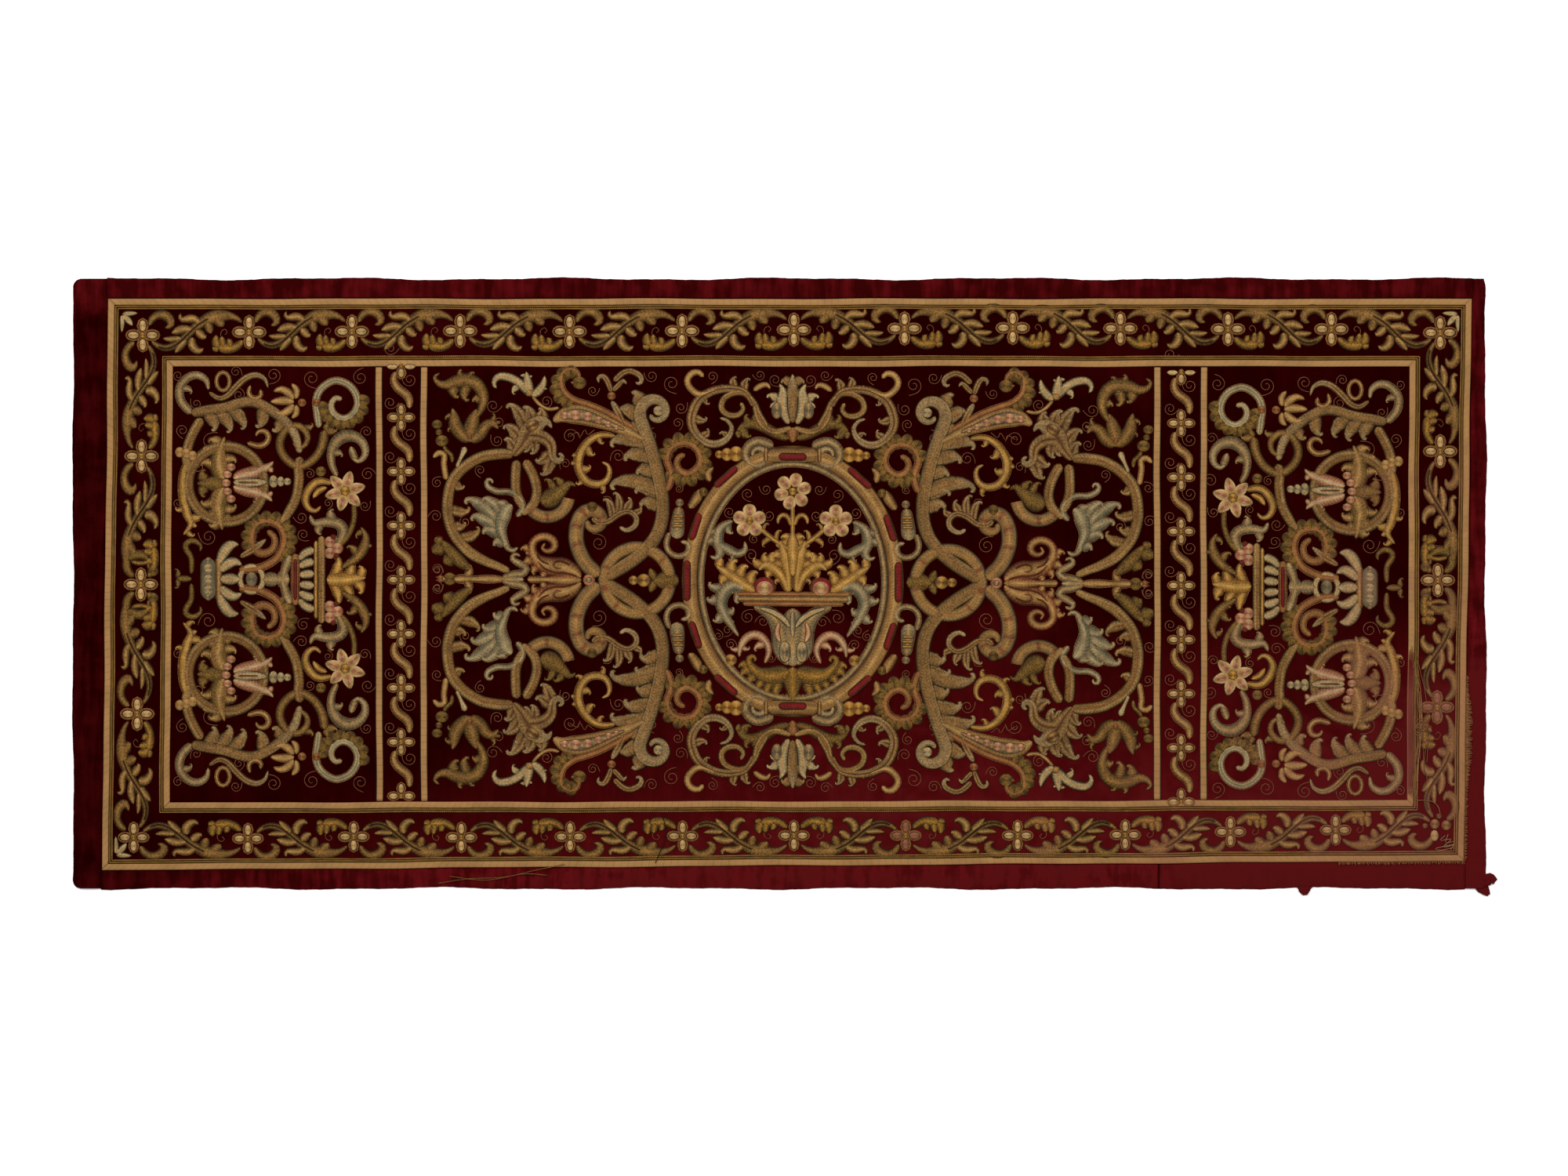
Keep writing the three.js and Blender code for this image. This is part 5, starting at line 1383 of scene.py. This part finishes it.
def loose_threads():
    """Silk ends pulled out of the inner frame's right side: a bundle, a tangle and two long ones."""
    chance = np.random.default_rng(3)
    base = np.array(BUNDLE, float)
    paths = []
    for k in range(12):
        sway = np.cumsum(chance.normal(0, 2.2, base.shape), axis=0) + chance.uniform(-6, 6, 2) * [1, 0.3]
        paths.append((base + sway)[k % 3:6 - k % 2])
    for k in range(9):
        a = np.linspace(0, chance.uniform(4, 9), 9)
        reach = 3 + 9 * chance.random() * np.abs(np.sin(0.6 * a + k))
        middle = np.array([1038, -238]) + chance.normal(0, 4, 2)
        paths.append(middle + np.column_stack([1.3 * reach * np.cos(a), reach * np.sin(a)]))
    paths.append(np.array([(1050, -255), (1044, -276), (1042, -300), (1047, -322), (1038, -340)], float))
    paths.append(np.array([(1030, -355), (1045, -355), (1058, -358), (1066, -367), (1069, -380)], float))
    return [Thread((), [[tuple(point) for point in path]], dye, 1.0 + 0.08 * k)
            for k, (path, dye) in enumerate(zip(paths, ["tan", "rose", "cream", "orange"] * 6))]


# Thin spirals of the centre field, the oval and the end panels
CENTRE_THREADS = [Thread([(-489, 294, 10), (-482, 237, 9), (-510, 188, 8), (-581, 167, 8), (-583, 112, 9),
    (-581, 25, 8), (-580, -5, 8), (-401, 302, 9), (-325, 320, 8), (-228, 345, 9), (-195, 333, 12),
    (-228, 247, 9), (-283, 213, 10), (-362, 245, 11), (-315, 70, 12), (-128, 345, 8), (-180, 293, 9),
    (-50, 348, 8), (-25, 340, 9), (-535, 103, 8), (-370, 200, 8), (-392, 110, 7), (-300, 140, 6),
    (-185, 268, 8), (-183, 160, 6), (-480, 268, 8)], [[(-362, 245), (-350, 252), (-346, 244), (-338, 256),
    (-333, 248), (-322, 256)]])]
OVAL_THREADS = [Thread([(-100, 122, 9), (-35, 117, 9), (-64, 52, 10), (-70, -50, 10), (-45, -57, 9),
    (-98, -95, 8), (-118, -81, 7), (-103, -72, 8), (-32, -118, 6), (-40, 160, 8), (-70, 152, 9),
    (-60, 78, 7)])]
END_THREADS = [Thread([(-1007, 340, 8), (-977, 294, 8), (-1000, 250, 9), (-953, 232, 12), (-975, 190, 10),
    (-912, 347, 8), (-907, 309, 9), (-850, 342, 11), (-1007, 130, 8), (-957, 75, 12), (-787, 337, 12),
    (-707, 339, 11), (-697, 250, 8), (-695, 180, 10), (-790, 180, 7), (-760, 132, 7), (-700, 128, 8),
    (-804, 108, 9), (-801, 80, 9), (-787, 158, 6)])]


# The cloth's edges and frames

# Where the field ends and its strips begin, from the outer frame's line: both lie just outside it
FIELD_INSET = -1.2
STRIP_INSET = -1.3
# About how large the field is, for the number of its cells
FIELD_SIZE = (2245, 930)
BAND_STEP = 6.0
# How far apart the four sides' threads start, so that no two sides look alike
SIDE_THREAD = 400
CLOTH_WIDTH = CLOTH["right"] - CLOTH["left"]
CLOTH_HEIGHT = CLOTH["top"] - CLOTH["bottom"]
# A rolled strip's profile: places from its seam to the cloth's edge, and the share of its rise there
ACROSS = np.array([0.0, 0.07, 0.22, 0.42, 0.62, 0.8, 0.92, 0.98, 1.0, 1.0, 0.0])
LIFT = np.array([0.75, 1.0, 1.2, 1.32, 1.3, 1.22, 1.12, 0.85, 0.45, 0.0, 0.0])
# Places along a side strip near its rounded corners
NEAR_CORNER = np.array([0, 0.0015, 0.003, 0.006, 0.009, 0.013])
# Torn scraps at the ends of two strips
SCRAPS = {
    "bottom": [[(846, -494, 28), (846, -503, 20), (847, -511, 7)]],
    "right": [
        [(1128, -486, 26), (1142, -488, 20), (1152, -484, 18), (1160, -489, 10)],
        [(1132, -488, 24), (1140, -500, 20), (1149, -511, 6)],
    ],
}
# Frayed parts of the outer frame's right and bottom sides: from, to, length and pitch
FRINGES = {
    ("outer", 1): ((-458, -150, 2.5, 1.5), (-330, -170, 8.5, 1.0)),
    ("outer", 2): ((900, 1112, 2.5, 1.6),),
}
FRAYED_DYES = ("braid", "orange", "tan", "cream", "tan")


def corner_points(edges, inset):
    """Corners of a frame moved inward, in the order top left, top right, bottom right, bottom left."""
    left, right, top, bottom = (edges[side] for side in ("left", "right", "top", "bottom"))
    return np.array([
        [left[0] + inset, top[0] - inset], [right[0] - inset, top[1] - inset],
        [right[1] - inset, bottom[1] + inset], [left[1] + inset, bottom[0] + inset],
    ])


def frame_side(edges, side, inset, count):
    """Points along one side of a frame (0 top, 1 right, 2 bottom, 3 left), rippled between its corners."""
    ring = corner_points(edges, inset)
    a, b = ring[side], ring[(side + 1) % 4]
    t = np.linspace(0, 1, count)
    move = ripple(t * np.hypot(*(b - a)), side + 1) * np.minimum(1, np.minimum(6 * t, 6 * (1 - t)))
    out = np.array([0, 1]) if side % 2 == 0 else np.array([1, 0])
    return a + (b - a) * t[:, None] + out * move[:, None]


def side_count(side, step):
    """How many points a side of a frame has, about a step apart."""
    return int((LONG_SIDE if side % 2 == 0 else SHORT_SIDE) / step) + 1


def ring_line(edges, inset, step):
    """All four sides of a frame as one closed line."""
    return np.vstack([frame_side(edges, side, inset, side_count(side, step))[:-1] for side in range(4)])


def band_surface(edges, side, near, far):
    """A flat silk band between two lines: z rises a little to its middle, and its ends are mitred."""
    count = side_count(side, BAND_STEP)
    outer, inner = frame_side(edges, side, near, count), frame_side(edges, side, far, count)
    v = np.linspace(-1, 1, 7)
    share = ((v + 1) / 2)[None, :, None]
    top = outer[:, None] * (1 - share) + inner[:, None] * share
    top = np.dstack([top, np.broadcast_to(0.5 + 0.75 * np.sqrt(1 - 0.9 * v**2), (count, len(v)))])
    under = np.dstack([np.stack([inner, outer], axis=1), np.full((count, 2), SUNK)])
    s = np.linspace(0, count * BAND_STEP, count)
    around = np.concatenate([v, [1.05, -1.05], [-1]]) * (far - near) / 2
    grid = np.concatenate([top, under], axis=1)
    return Surface(grid, s + SIDE_THREAD * side, around, plain(grid.shape[:2], "braid"), (False, True))


def fringe(side, first, last, reach, pitch, seed):
    """Frayed silk ends along part of the outer frame, as tubes that climb over the strip beside it."""
    chance = np.random.default_rng(seed)
    edge = frame_side(FRAME_OUT, side, 0.6, 600)
    keep = edge[(edge[:, side % 2] > first) & (edge[:, side % 2] < last)]
    out = np.array([1.0, 0.0]) if side == 1 else np.array([0.0, -1.0])
    along = out[::-1]
    surfaces = []
    for k, start in enumerate(even(keep, pitch)):
        swell = np.sin(np.pi * k * pitch / (last - first)) ** 0.5 if reach > 7 else 1.0
        length = (2.5 + reach * swell) * chance.uniform(0.55, 1.15)
        t = np.linspace(0, 1, 4)[:, None]
        bend = chance.normal(0, 1.3) * t**2 + chance.normal(0, 0.5) * t
        line = start + out * length * t + along * bend
        height = np.interp(t[:, 0] * length, [0, 1.5, 4, 12], [1.5, 2.6, 3.3, 4.2]) + chance.uniform(0, 0.3)
        dye = FRAYED_DYES[chance.integers(len(FRAYED_DYES))]
        surfaces.append(tube(line, 0.45, dye, 3, False, height, 0.3))
    return surfaces


def torn(surface):
    """The same band with its silk gone from part of the inner frame's right side: the red ground shows."""
    y = surface.grid[..., 1]
    place = np.arange(y.shape[0])[:, None] * 1.9
    worn = np.clip(np.minimum(y + 350, -106 - y) / 14 + 0.3 * noise(place, 2), 0, 1)
    inner = np.abs(surface.v[:y.shape[1]]) < 0.37 * BAND_WIDTH
    worn = (worn * inner)[..., None]
    bare = np.append(linear("wine"), 0.3)
    return surface._replace(tint=surface.tint * (1 - worn) + bare * worn)


def cloth_edge(side, t):
    """Where the cloth's outer edge lies: two sine waves about a straight line, in millimetres."""
    span = CLOTH_WIDTH if side % 2 == 0 else CLOTH_HEIGHT
    move = 2.4 * ripple(t * span * 1.15, side * 1.7 + 0.4) + 0.5 * noise(t * span / 7, side)
    home = (CLOTH["top"], CLOTH["right"], CLOTH["bottom"], CLOTH["left"])[side]
    return home + (0.7 if side == 3 else 1.0) * move


def strip_surface(inner, outer):
    """A rolled strip of velvet between its seam and the cloth's edge: z follows a low rounded profile."""
    s = arc_lengths(inner)
    line = inner[:, None] * (1 - ACROSS[None, :, None]) + outer[:, None] * ACROSS[None, :, None]
    swell = 2.45 + 0.25 * ripple(2.1 * s, 0.7)[:, None] + 0.18 * noise(s / 11, 3)[:, None]
    grid = np.dstack([line, LIFT[None] * swell])
    around = np.append(ACROSS, 0.0) * np.hypot(*(outer[0] - inner[0]))
    return Surface(grid, s, around, plain(grid.shape[:2], "red"), (False, True))


def scrap_surface(path):
    """A torn scrap: a thin slab along a line, its upper face curling up a little as the line goes on."""
    line = smooth(path, 2.5)
    _, n = headings(line)
    t = np.linspace(0, 1, len(line))[:, None]
    v = np.array([-1, -0.5, 0, 0.5, 1, 1, -1])[None, :]
    upper = np.arange(v.size)[None, :] < 5
    ragged = 1 + 0.12 * noise(np.arange(len(line)) * 1.3, 1)[:, None]
    offset = line[:, None, :2] + n[:, None] * (line[:, 2:3] / 2 * v * ragged)[..., None]
    up = 1.0 + 1.4 * t**2 * np.abs(v) + 0.5 * np.sin(5 * t + v)
    grid = np.dstack([offset, np.where(upper, up + 0.7, np.maximum(up - 0.9, 0.0))])
    u = np.linspace(0, 40, len(line))
    return Surface(grid, u, np.linspace(0, 30, 8), plain(grid.shape[:2], "red"), (False, True))


def long_strip(name, side):
    """The seam and the outer edge of the top or the bottom strip, from left to right."""
    x = np.linspace(SEAM[f"{name}_left"] + 0.1, SEAM[f"{name}_right"] - 0.1, 400)
    seam = frame_side(FRAME_OUT, side, STRIP_INSET, 400)
    seam = seam if side == 0 else seam[::-1]
    inner = np.column_stack([x, np.interp(x, seam[:, 0], seam[:, 1])])
    return inner, np.column_stack([x, cloth_edge(side, (x - CLOTH["left"]) / CLOTH_WIDTH)])


def short_strip(name, side):
    """The seam and the outer edge of the left or the right strip, from the bottom up. The left one's
    corners are rounded as quarter circles, and the right one's are cut a little."""
    low, high = SEAM[f"bottom_{name}"], SEAM[f"top_{name}"]
    t = np.concatenate([NEAR_CORNER, np.linspace(0.017, 0.983, 170), 1 - NEAR_CORNER[::-1]])
    y = CLOTH["bottom"] + t * CLOTH_HEIGHT
    seam = frame_side(FRAME_OUT, side, STRIP_INSET, 400)
    seam = seam[np.argsort(seam[:, 1])]
    last_x, last_y = seam[-1]
    beside = np.interp(y, np.append(CLOTH["bottom"], seam[:, 1]), np.append(low, seam[:, 0]))
    above = np.interp(y, [last_y, CLOTH["top"]], [last_x, high])
    inner = np.column_stack([np.where(y > last_y, above, beside), y])
    room = np.minimum(y - CLOTH["bottom"], CLOTH["top"] - y)
    drop = np.clip(CLOTH["corner"] - room, 0, None) / CLOTH["corner"]
    if name == "left":
        cut = CLOTH["corner"] * (1 - np.sqrt(1 - 0.98 * drop**2))
    else:
        cut = -4 * drop
    return inner, np.column_stack([cloth_edge(side, t) + cut, y])


def field_grid(cell):
    """The velvet field: each point is mixed from its frame's four rippled sides, and z is the pucker."""
    counts = [int(size / cell) for size in FIELD_SIZE]
    top = frame_side(FRAME_OUT, 0, FIELD_INSET, counts[0])
    right = frame_side(FRAME_OUT, 1, FIELD_INSET, counts[1])[::-1]
    bottom = frame_side(FRAME_OUT, 2, FIELD_INSET, counts[0])[::-1]
    left = frame_side(FRAME_OUT, 3, FIELD_INSET, counts[1])
    s = np.linspace(0, 1, counts[0])[:, None, None]
    t = np.linspace(0, 1, counts[1])[None, :, None]
    across = bottom[:, None] * (1 - t) + top[:, None] * t
    along = left[None] * (1 - s) + right[None] * s
    corners = (bottom[0] * (1 - s) + bottom[-1] * s) * (1 - t) + (top[0] * (1 - s) + top[-1] * s) * t
    flat = across + along - corners
    return np.dstack([flat, ground(flat[..., 0], flat[..., 1])])


# Operators: one for each group of pieces

SIDES = (("left", False), ("right", True))
QUARTERS = (("tl", False, False), ("tr", True, False), ("bl", False, True), ("br", True, True))


class CLOTH_OT_velvet(bpy.types.Operator):
    """Make the velvet field and its four border strips"""

    bl_idname = "cloth.velvet"
    bl_label = "Velvet"

    def execute(self, context):
        # The field gets faint painted sheen mottles; the border gets stronger ones, and painted sheen on its
        # top and right strips
        field = velvet_material("velvet field", 0.6, 0.0)
        border = velvet_material("velvet border", 3.2, 0.25)
        strips = [
            self.strip("top", long_strip("top", 0), border),
            self.strip("bottom", long_strip("bottom", 2), border),
            self.strip("left", short_strip("left", 3), border),
            self.strip("right", short_strip("right", 1), border),
        ]
        grid = field_grid(1000 * context.scene.cloth_velvet.cell)
        rows, columns = grid.shape[:2]
        ring = np.concatenate([
            np.arange(columns), np.arange(1, rows) * columns + columns - 1,
            (rows - 1) * columns + np.arange(columns - 2, -1, -1), np.arange(rows - 2, 0, -1) * columns,
        ])
        edge = grid.reshape(-1, 3)[ring]
        sewing = Sewing()
        sewing.add_sheet(grid, ring, edge * [1, 1, 0], shifted)
        panel = sewing.finish("velvet_panel", field)
        return {"FINISHED"}

    def strip(self, name, lines, look):
        surfaces = [strip_surface(*lines)]
        surfaces += [scrap_surface(path) for path in SCRAPS.get(name, ())]
        return sew(f"velvet_strip_{name}", [(surfaces, [shifted])], look)


class CLOTH_OT_braid(bpy.types.Operator):
    """Sew on the silk bands, the twisted cords beside them and the upright bars"""

    bl_idname = "cloth.braid"
    bl_label = "Braid"

    def execute(self, context):
        band = silk_material("tan braid", 60, 1300, ribs=84.0, barbs=0.0)
        dark = silk_material("dark cord", 120, 800, twist=330.0, barbs=0.0)
        fine = silk_material("fine cord", 120, 800, twist=300.0, barbs=0.0)
        cords = {"dark": (DARK_CORD, "olive", dark), "fine": (FINE_CORD, "tan", fine)}
        for name, edges, order in (
            ("outer", FRAME_OUT, ("band", "dark", "fine")), ("inner", FRAME_IN, ("fine", "dark", "band"))
        ):
            inset = 0.0
            for item in order:
                if item == "band":
                    self.bands(name, edges, inset, band)
                    inset += BAND_WIDTH + CORD_GAP
                else:
                    width, dye, look = cords[item]
                    surface = tube(ring_line(edges, inset + width / 2, 7.0), width / 2, dye, 6, True, 0.9)
                    sew(f"{name}_{item}_cord", [([surface], [laid])], look)
                    inset += width + CORD_GAP
        self.bars(band)
        return {"FINISHED"}

    def bands(self, name, edges, inset, look):
        for side, word in enumerate(("top", "right", "bottom", "left")):
            surface = band_surface(edges, side, inset, inset + BAND_WIDTH)
            surfaces = [torn(surface) if (name, side) == ("inner", 1) else surface]
            for part in FRINGES.get((name, side), ()):
                surfaces += fringe(side, *part, side + 7)
            sew(f"{name}_band_{word}", [(surfaces, [laid])], look)

    def bars(self, look):
        depth = FRAME_DEPTH + 1.5
        foot, far_foot = FRAME_IN["bottom"]
        for number, x in enumerate(BARS):
            share = (x - CLOTH["left"]) / CLOTH_WIDTH
            low = foot + share * (far_foot - foot) + depth
            y = np.linspace(low, FRAME_IN["top"][0] - depth, 120)
            line = np.column_stack([x + ripple(y, number), y, np.full(len(y), BAR_WIDTH)])
            surface = dome(line, 0.7, "cream", 0.1)
            surfaces = [surface._replace(tint=plain(surface.grid.shape[:2], "braid"))]
            for side in (-1, 1):
                edge = line[:, :2] + [side * (BAR_WIDTH / 2 + 0.2), 0]
                surfaces.append(tube(edge, 0.8, "dark", 5, False, 0.7))
            sew(f"braid_bar_{number + 1}", [(surfaces, [laid])], look)


class CLOTH_OT_borders(bpy.types.Operator):
    """Sew on the flowered border and the two flower columns"""

    bl_idname = "cloth.borders"
    bl_label = "Flower borders"

    def execute(self, context):
        olive = silk_material("olive silk")
        ivory = silk_material("ivory silk")
        common = work(VINE, 1.0), work(border_flower(), 2.0), work(border_flower("mauve"), 25.0)
        self.long_vines(*common, olive)
        self.side_vines(*common, olive)
        self.columns(ivory)
        return {"FINISHED"}

    def long_vines(self, vine, flower, faded, look):
        leaf = work(CORNER_LEAF, 24.0)
        corners = corner_points(FRAME_OUT, FRAME_DEPTH)
        for name, low, squeeze in (("top", False, 1.0), ("bottom", True, 0.92)):
            stops = VINES[name]
            middle = len(stops) // 2
            vines = [
                stretch(a, b, low, squeeze) if k < middle else stretch(b, a, not low, squeeze)
                for k, (a, b) in enumerate(zip(stops, stops[1:]))
            ]
            beside = corners[[3, 2]] if low else corners[:2]
            leaves = [at(*corner, (way, -1 if low else 1)) for corner, way in zip(beside, (1, -1))]
            size = (squeeze, squeeze)
            whole = [stop for stop in stops if stop not in (FADED[0], VINES["bottom"][-1])]
            groups = [(vine, vines), (flower, [at(*stop, size) for stop in whole])]
            if low:
                groups.append((work(TORN_FLOWER, 26.0), [at(*stops[-1])]))
                groups.append((faded, [at(*FADED[0], size)]))
                groups.append((leaf, leaves[:1]))
                groups.append((work(STRIP_THREADS, 28.0), [laid]))
            else:
                groups.append((leaf, leaves))
            sew(f"border_vine_{name}", groups, look)

    def side_vines(self, vine, flower, faded, look):
        knot = work(KNOT, 23.0)
        for name, right, corner in (("left", False, 0), ("right", True, -1)):
            upper, middle, lower = stops = VINES[name]
            spans = (
                (VINES["top"][corner], upper, not right), (upper, middle, not right),
                (lower, middle, right), (VINES["bottom"][corner], lower, right),
            )
            vines = [stretch(*span, SIDE_SQUEEZE) for span in spans]
            knots = [at(*middle, (-1 if right else 1, way)) for way in (1, -1)]
            whole = [at(*stop) for stop in stops if stop != FADED[1]]
            groups = [(vine, vines), (knot, knots), (flower, whole)]
            if right:
                groups.append((faded, [at(*FADED[1])]))
                groups.append((work(loose_threads(), 27.0), [laid]))
            sew(f"border_vine_{name}", groups, look)

    def columns(self, look):
        stem, flower = work(S_STEM, 3.0), work(border_flower(), 4.0)
        half, three = work(HALF_FLOWER, 5.0), work(border_flower(petals=3), 4.0)
        size = (COLUMN_FLOWER, COLUMN_FLOWER)
        for name, x in COLUMNS:
            lean = TILT_RISE - AXIS[1] + TILT * x
            spots = [(x, COLUMN_MIDDLE + (3 - k) * COLUMN_PITCH + lean) for k in range(7)]
            head, foot = (x, COLUMN_HEAD + lean), (x, COLUMN_FOOT + lean)
            groups = [
                (stem, [at(*spot) for spot in [head, *spots]]), (half, [at(*head)]),
                (three, [at(*foot, size)]), (flower, [at(*spot, size) for spot in spots]),
            ]
            sew(f"column_vine_{name}", groups, look)


class CLOTH_OT_centre(bpy.types.Operator):
    """Sew on the scrollwork of the centre field"""

    bl_idname = "cloth.centre"
    bl_label = "Centre field"

    def execute(self, context):
        tan = silk_material("tan silk")
        upper, middle = work(SCROLLWORK + PALMETTE, 6.0), work(SCROLLWORK_AXIS, 7.0)
        threads = work(CENTRE_THREADS, 8.0)
        for name, flip in SIDES:
            both = [placed(flip), placed(flip, True)]
            groups = [(middle, both[:1]), (upper, both), (threads, both)]
            sew(f"scrollwork_{name}", groups, tan)
        for node, rows, slot in (
            ("corner_tulip", CORNER_TULIP, "olive_silk"), ("acanthus_head", ACANTHUS_HEAD, "grey_silk"),
            ("gold_scroll", GOLD_SCROLL, "gold_silk"), ("wheel_scroll", WHEEL_SCROLL, "orange_silk"),
        ):
            look = silk_material(slot.replace("_", " ") + " of the field")
            surfaces = work(rows, 9.0)
            for name, flip_x, flip_y in QUARTERS:
                sew(f"{node}_{name}", [(surfaces, [placed(flip_x, flip_y)])], look)
        return {"FINISHED"}


class CLOTH_OT_medallion(bpy.types.Operator):
    """Sew on the medallion, its urn of flowers and the two crests"""

    bl_idname = "cloth.medallion"
    bl_label = "Medallion"

    def execute(self, context):
        tan = silk_material("tan silk of the medallion")
        gold = silk_material("gold silk of the urn", shine=0.45)
        olive = silk_material("olive silk of the crests")
        quarters = [placed(flip_x, flip_y) for _, flip_x, flip_y in QUARTERS]
        once = [placed()]
        groups = [
            (work(MEDALLION_RINGS, 10.0), once), (work(MEDALLION_BAR, 11.0), [placed(), placed(False, True)]),
            (work(MEDALLION, 12.0), quarters),
        ]
        sew("medallion_frame", groups, tan)
        halves = [placed(), placed(True)]
        groups = [
            (work(BOUQUET_AXIS, 13.0), once), (work(BOUQUET, 14.0), halves),
            (work(OVAL_THREADS, 15.0), halves),
        ]
        sew("medallion_urn", groups, gold)
        half, middle = work(CREST, 16.0), work(CREST_AXIS, 17.0)
        for name, flip in (("top", False), ("bottom", True)):
            both = [placed(False, flip), placed(True, flip)]
            sew(f"crest_{name}", [(middle, both[:1]), (half, both)], olive)
        return {"FINISHED"}


class CLOTH_OT_ends(bpy.types.Operator):
    """Sew on the two end panels"""

    bl_idname = "cloth.ends"
    bl_label = "End panels"

    def execute(self, context):
        ivory = silk_material("ivory silk of the ends")
        tan = silk_material("tan silk of the ends")
        pink = silk_material("pink silk of the ends")
        scroll, star = work(END_SCROLL, 18.0), work(END_STAR, 19.0)
        half, middle, threads = work(END_URN, 20.0), work(END_URN_AXIS, 21.0), work(END_THREADS, 22.0)
        for side, flip in SIDES:
            both = [placed(flip, False, END_AXIS), placed(flip, True, END_AXIS)]
            sew(f"end_urn_{side}", [(half, both), (middle, both[:1]), (threads, both)], ivory)
            for end, place in zip(("upper", "lower"), both):
                sew(f"end_scroll_{side}_{end}", [(scroll, [place])], tan)
                sew(f"end_star_{side}_{end}", [(star, [place])], pink)
        return {"FINISHED"}


class CLOTH_OT_stage(bpy.types.Operator):
    """Lay the floor, and set the camera and the lights"""

    bl_idname = "cloth.stage"
    bl_label = "Stage"

    def execute(self, context):
        settings = context.scene.cloth_stage
        self.floor(context)
        world = bpy.data.worlds.new("studio")
        world.use_nodes = True
        background = world.node_tree.nodes["Background"]
        background.inputs["Color"].default_value = (1, 1, 1, 1)
        background.inputs["Strength"].default_value = settings.fill
        context.scene.world = world
        self.lamp(context, "main light", (-1.6, 2.2, 3.4), 2.4, settings.key)
        self.lamp(context, "side light", (2.4, 1.4, 3.0), 2.0, settings.key * 0.4)
        self.camera(context, settings)
        context.scene.view_settings.view_transform = "Standard"
        return {"FINISHED"}

    def floor(self, context):
        reach = 40.0
        corners = [(-reach, -reach, 0), (reach, -reach, 0), (reach, reach, 0), (-reach, reach, 0)]
        mesh = bpy.data.meshes.new("floor")
        mesh.from_pydata(corners, [], [(0, 1, 2, 3)])
        floor = bpy.data.objects.new("floor", mesh)
        context.scene.collection.objects.link(floor)
        new, wire = material("floor")
        grain = wire.node("ShaderNodeTexCoord", 3).noise(3.0)
        colour = grain.mixed((0.90, 0.90, 0.90, 1), (0.92, 0.92, 0.92, 1))
        surfaced(wire, colour, 0.9 + grain * 0.05, grain, 0.02, 0.001)
        mesh.materials.append(new)

    def lamp(self, context, name, place, size, power):
        light = bpy.data.lights.new(name, "AREA")
        light.energy = power
        light.size = size
        lamp = bpy.data.objects.new(name, light)
        lamp.location = place
        lamp.rotation_euler = aimed(place)
        context.scene.collection.objects.link(lamp)

    def camera(self, context, settings):
        lens = bpy.data.cameras.new("camera")
        lens.lens = settings.lens
        lens.sensor_width = 36.0
        camera = bpy.data.objects.new("camera", lens)
        camera.location = (-0.0006, 0.0, settings.width * settings.lens / lens.sensor_width)
        context.scene.collection.objects.link(camera)
        context.scene.camera = camera


def aimed(place):
    """The turn that points a lamp from its place at the middle of the cloth."""
    x, y, z = place
    return (np.arctan2(np.hypot(x, y), z), 0.0, np.arctan2(-x, y) + np.pi)


OPERATORS = (
    CLOTH_OT_velvet, CLOTH_OT_braid, CLOTH_OT_borders, CLOTH_OT_centre, CLOTH_OT_medallion, CLOTH_OT_ends,
    CLOTH_OT_stage,
)
GROUPS = {"cloth_velvet": VelvetSettings, "cloth_silk": SilkSettings, "cloth_stage": StageSettings}


class CLOTH_PT_panel(bpy.types.Panel):
    """The cloth's settings and the steps that make it"""

    bl_label = "Embroidered cloth"
    bl_space_type = "VIEW_3D"
    bl_region_type = "UI"
    bl_category = "Cloth"

    def draw(self, context):
        for name in GROUPS:
            group = getattr(context.scene, name)
            for key in group.bl_rna.properties.keys():
                if key not in ("rna_type", "name"):
                    self.layout.prop(group, key)
        for operator in OPERATORS:
            self.layout.operator(operator.bl_idname)


def register():
    for entry in (*GROUPS.values(), *OPERATORS, CLOTH_PT_panel):
        bpy.utils.register_class(entry)
    for name, group in GROUPS.items():
        setattr(bpy.types.Scene, name, bpy.props.PointerProperty(type=group))


def unregister():
    for name in GROUPS:
        delattr(bpy.types.Scene, name)
    for entry in (CLOTH_PT_panel, *OPERATORS, *GROUPS.values()):
        bpy.utils.unregister_class(entry)


def main():
    register()
    for operator in OPERATORS:
        family, word = operator.bl_idname.split(".")
        getattr(getattr(bpy.ops, family), word)()


if __name__ == "__main__":
    main()
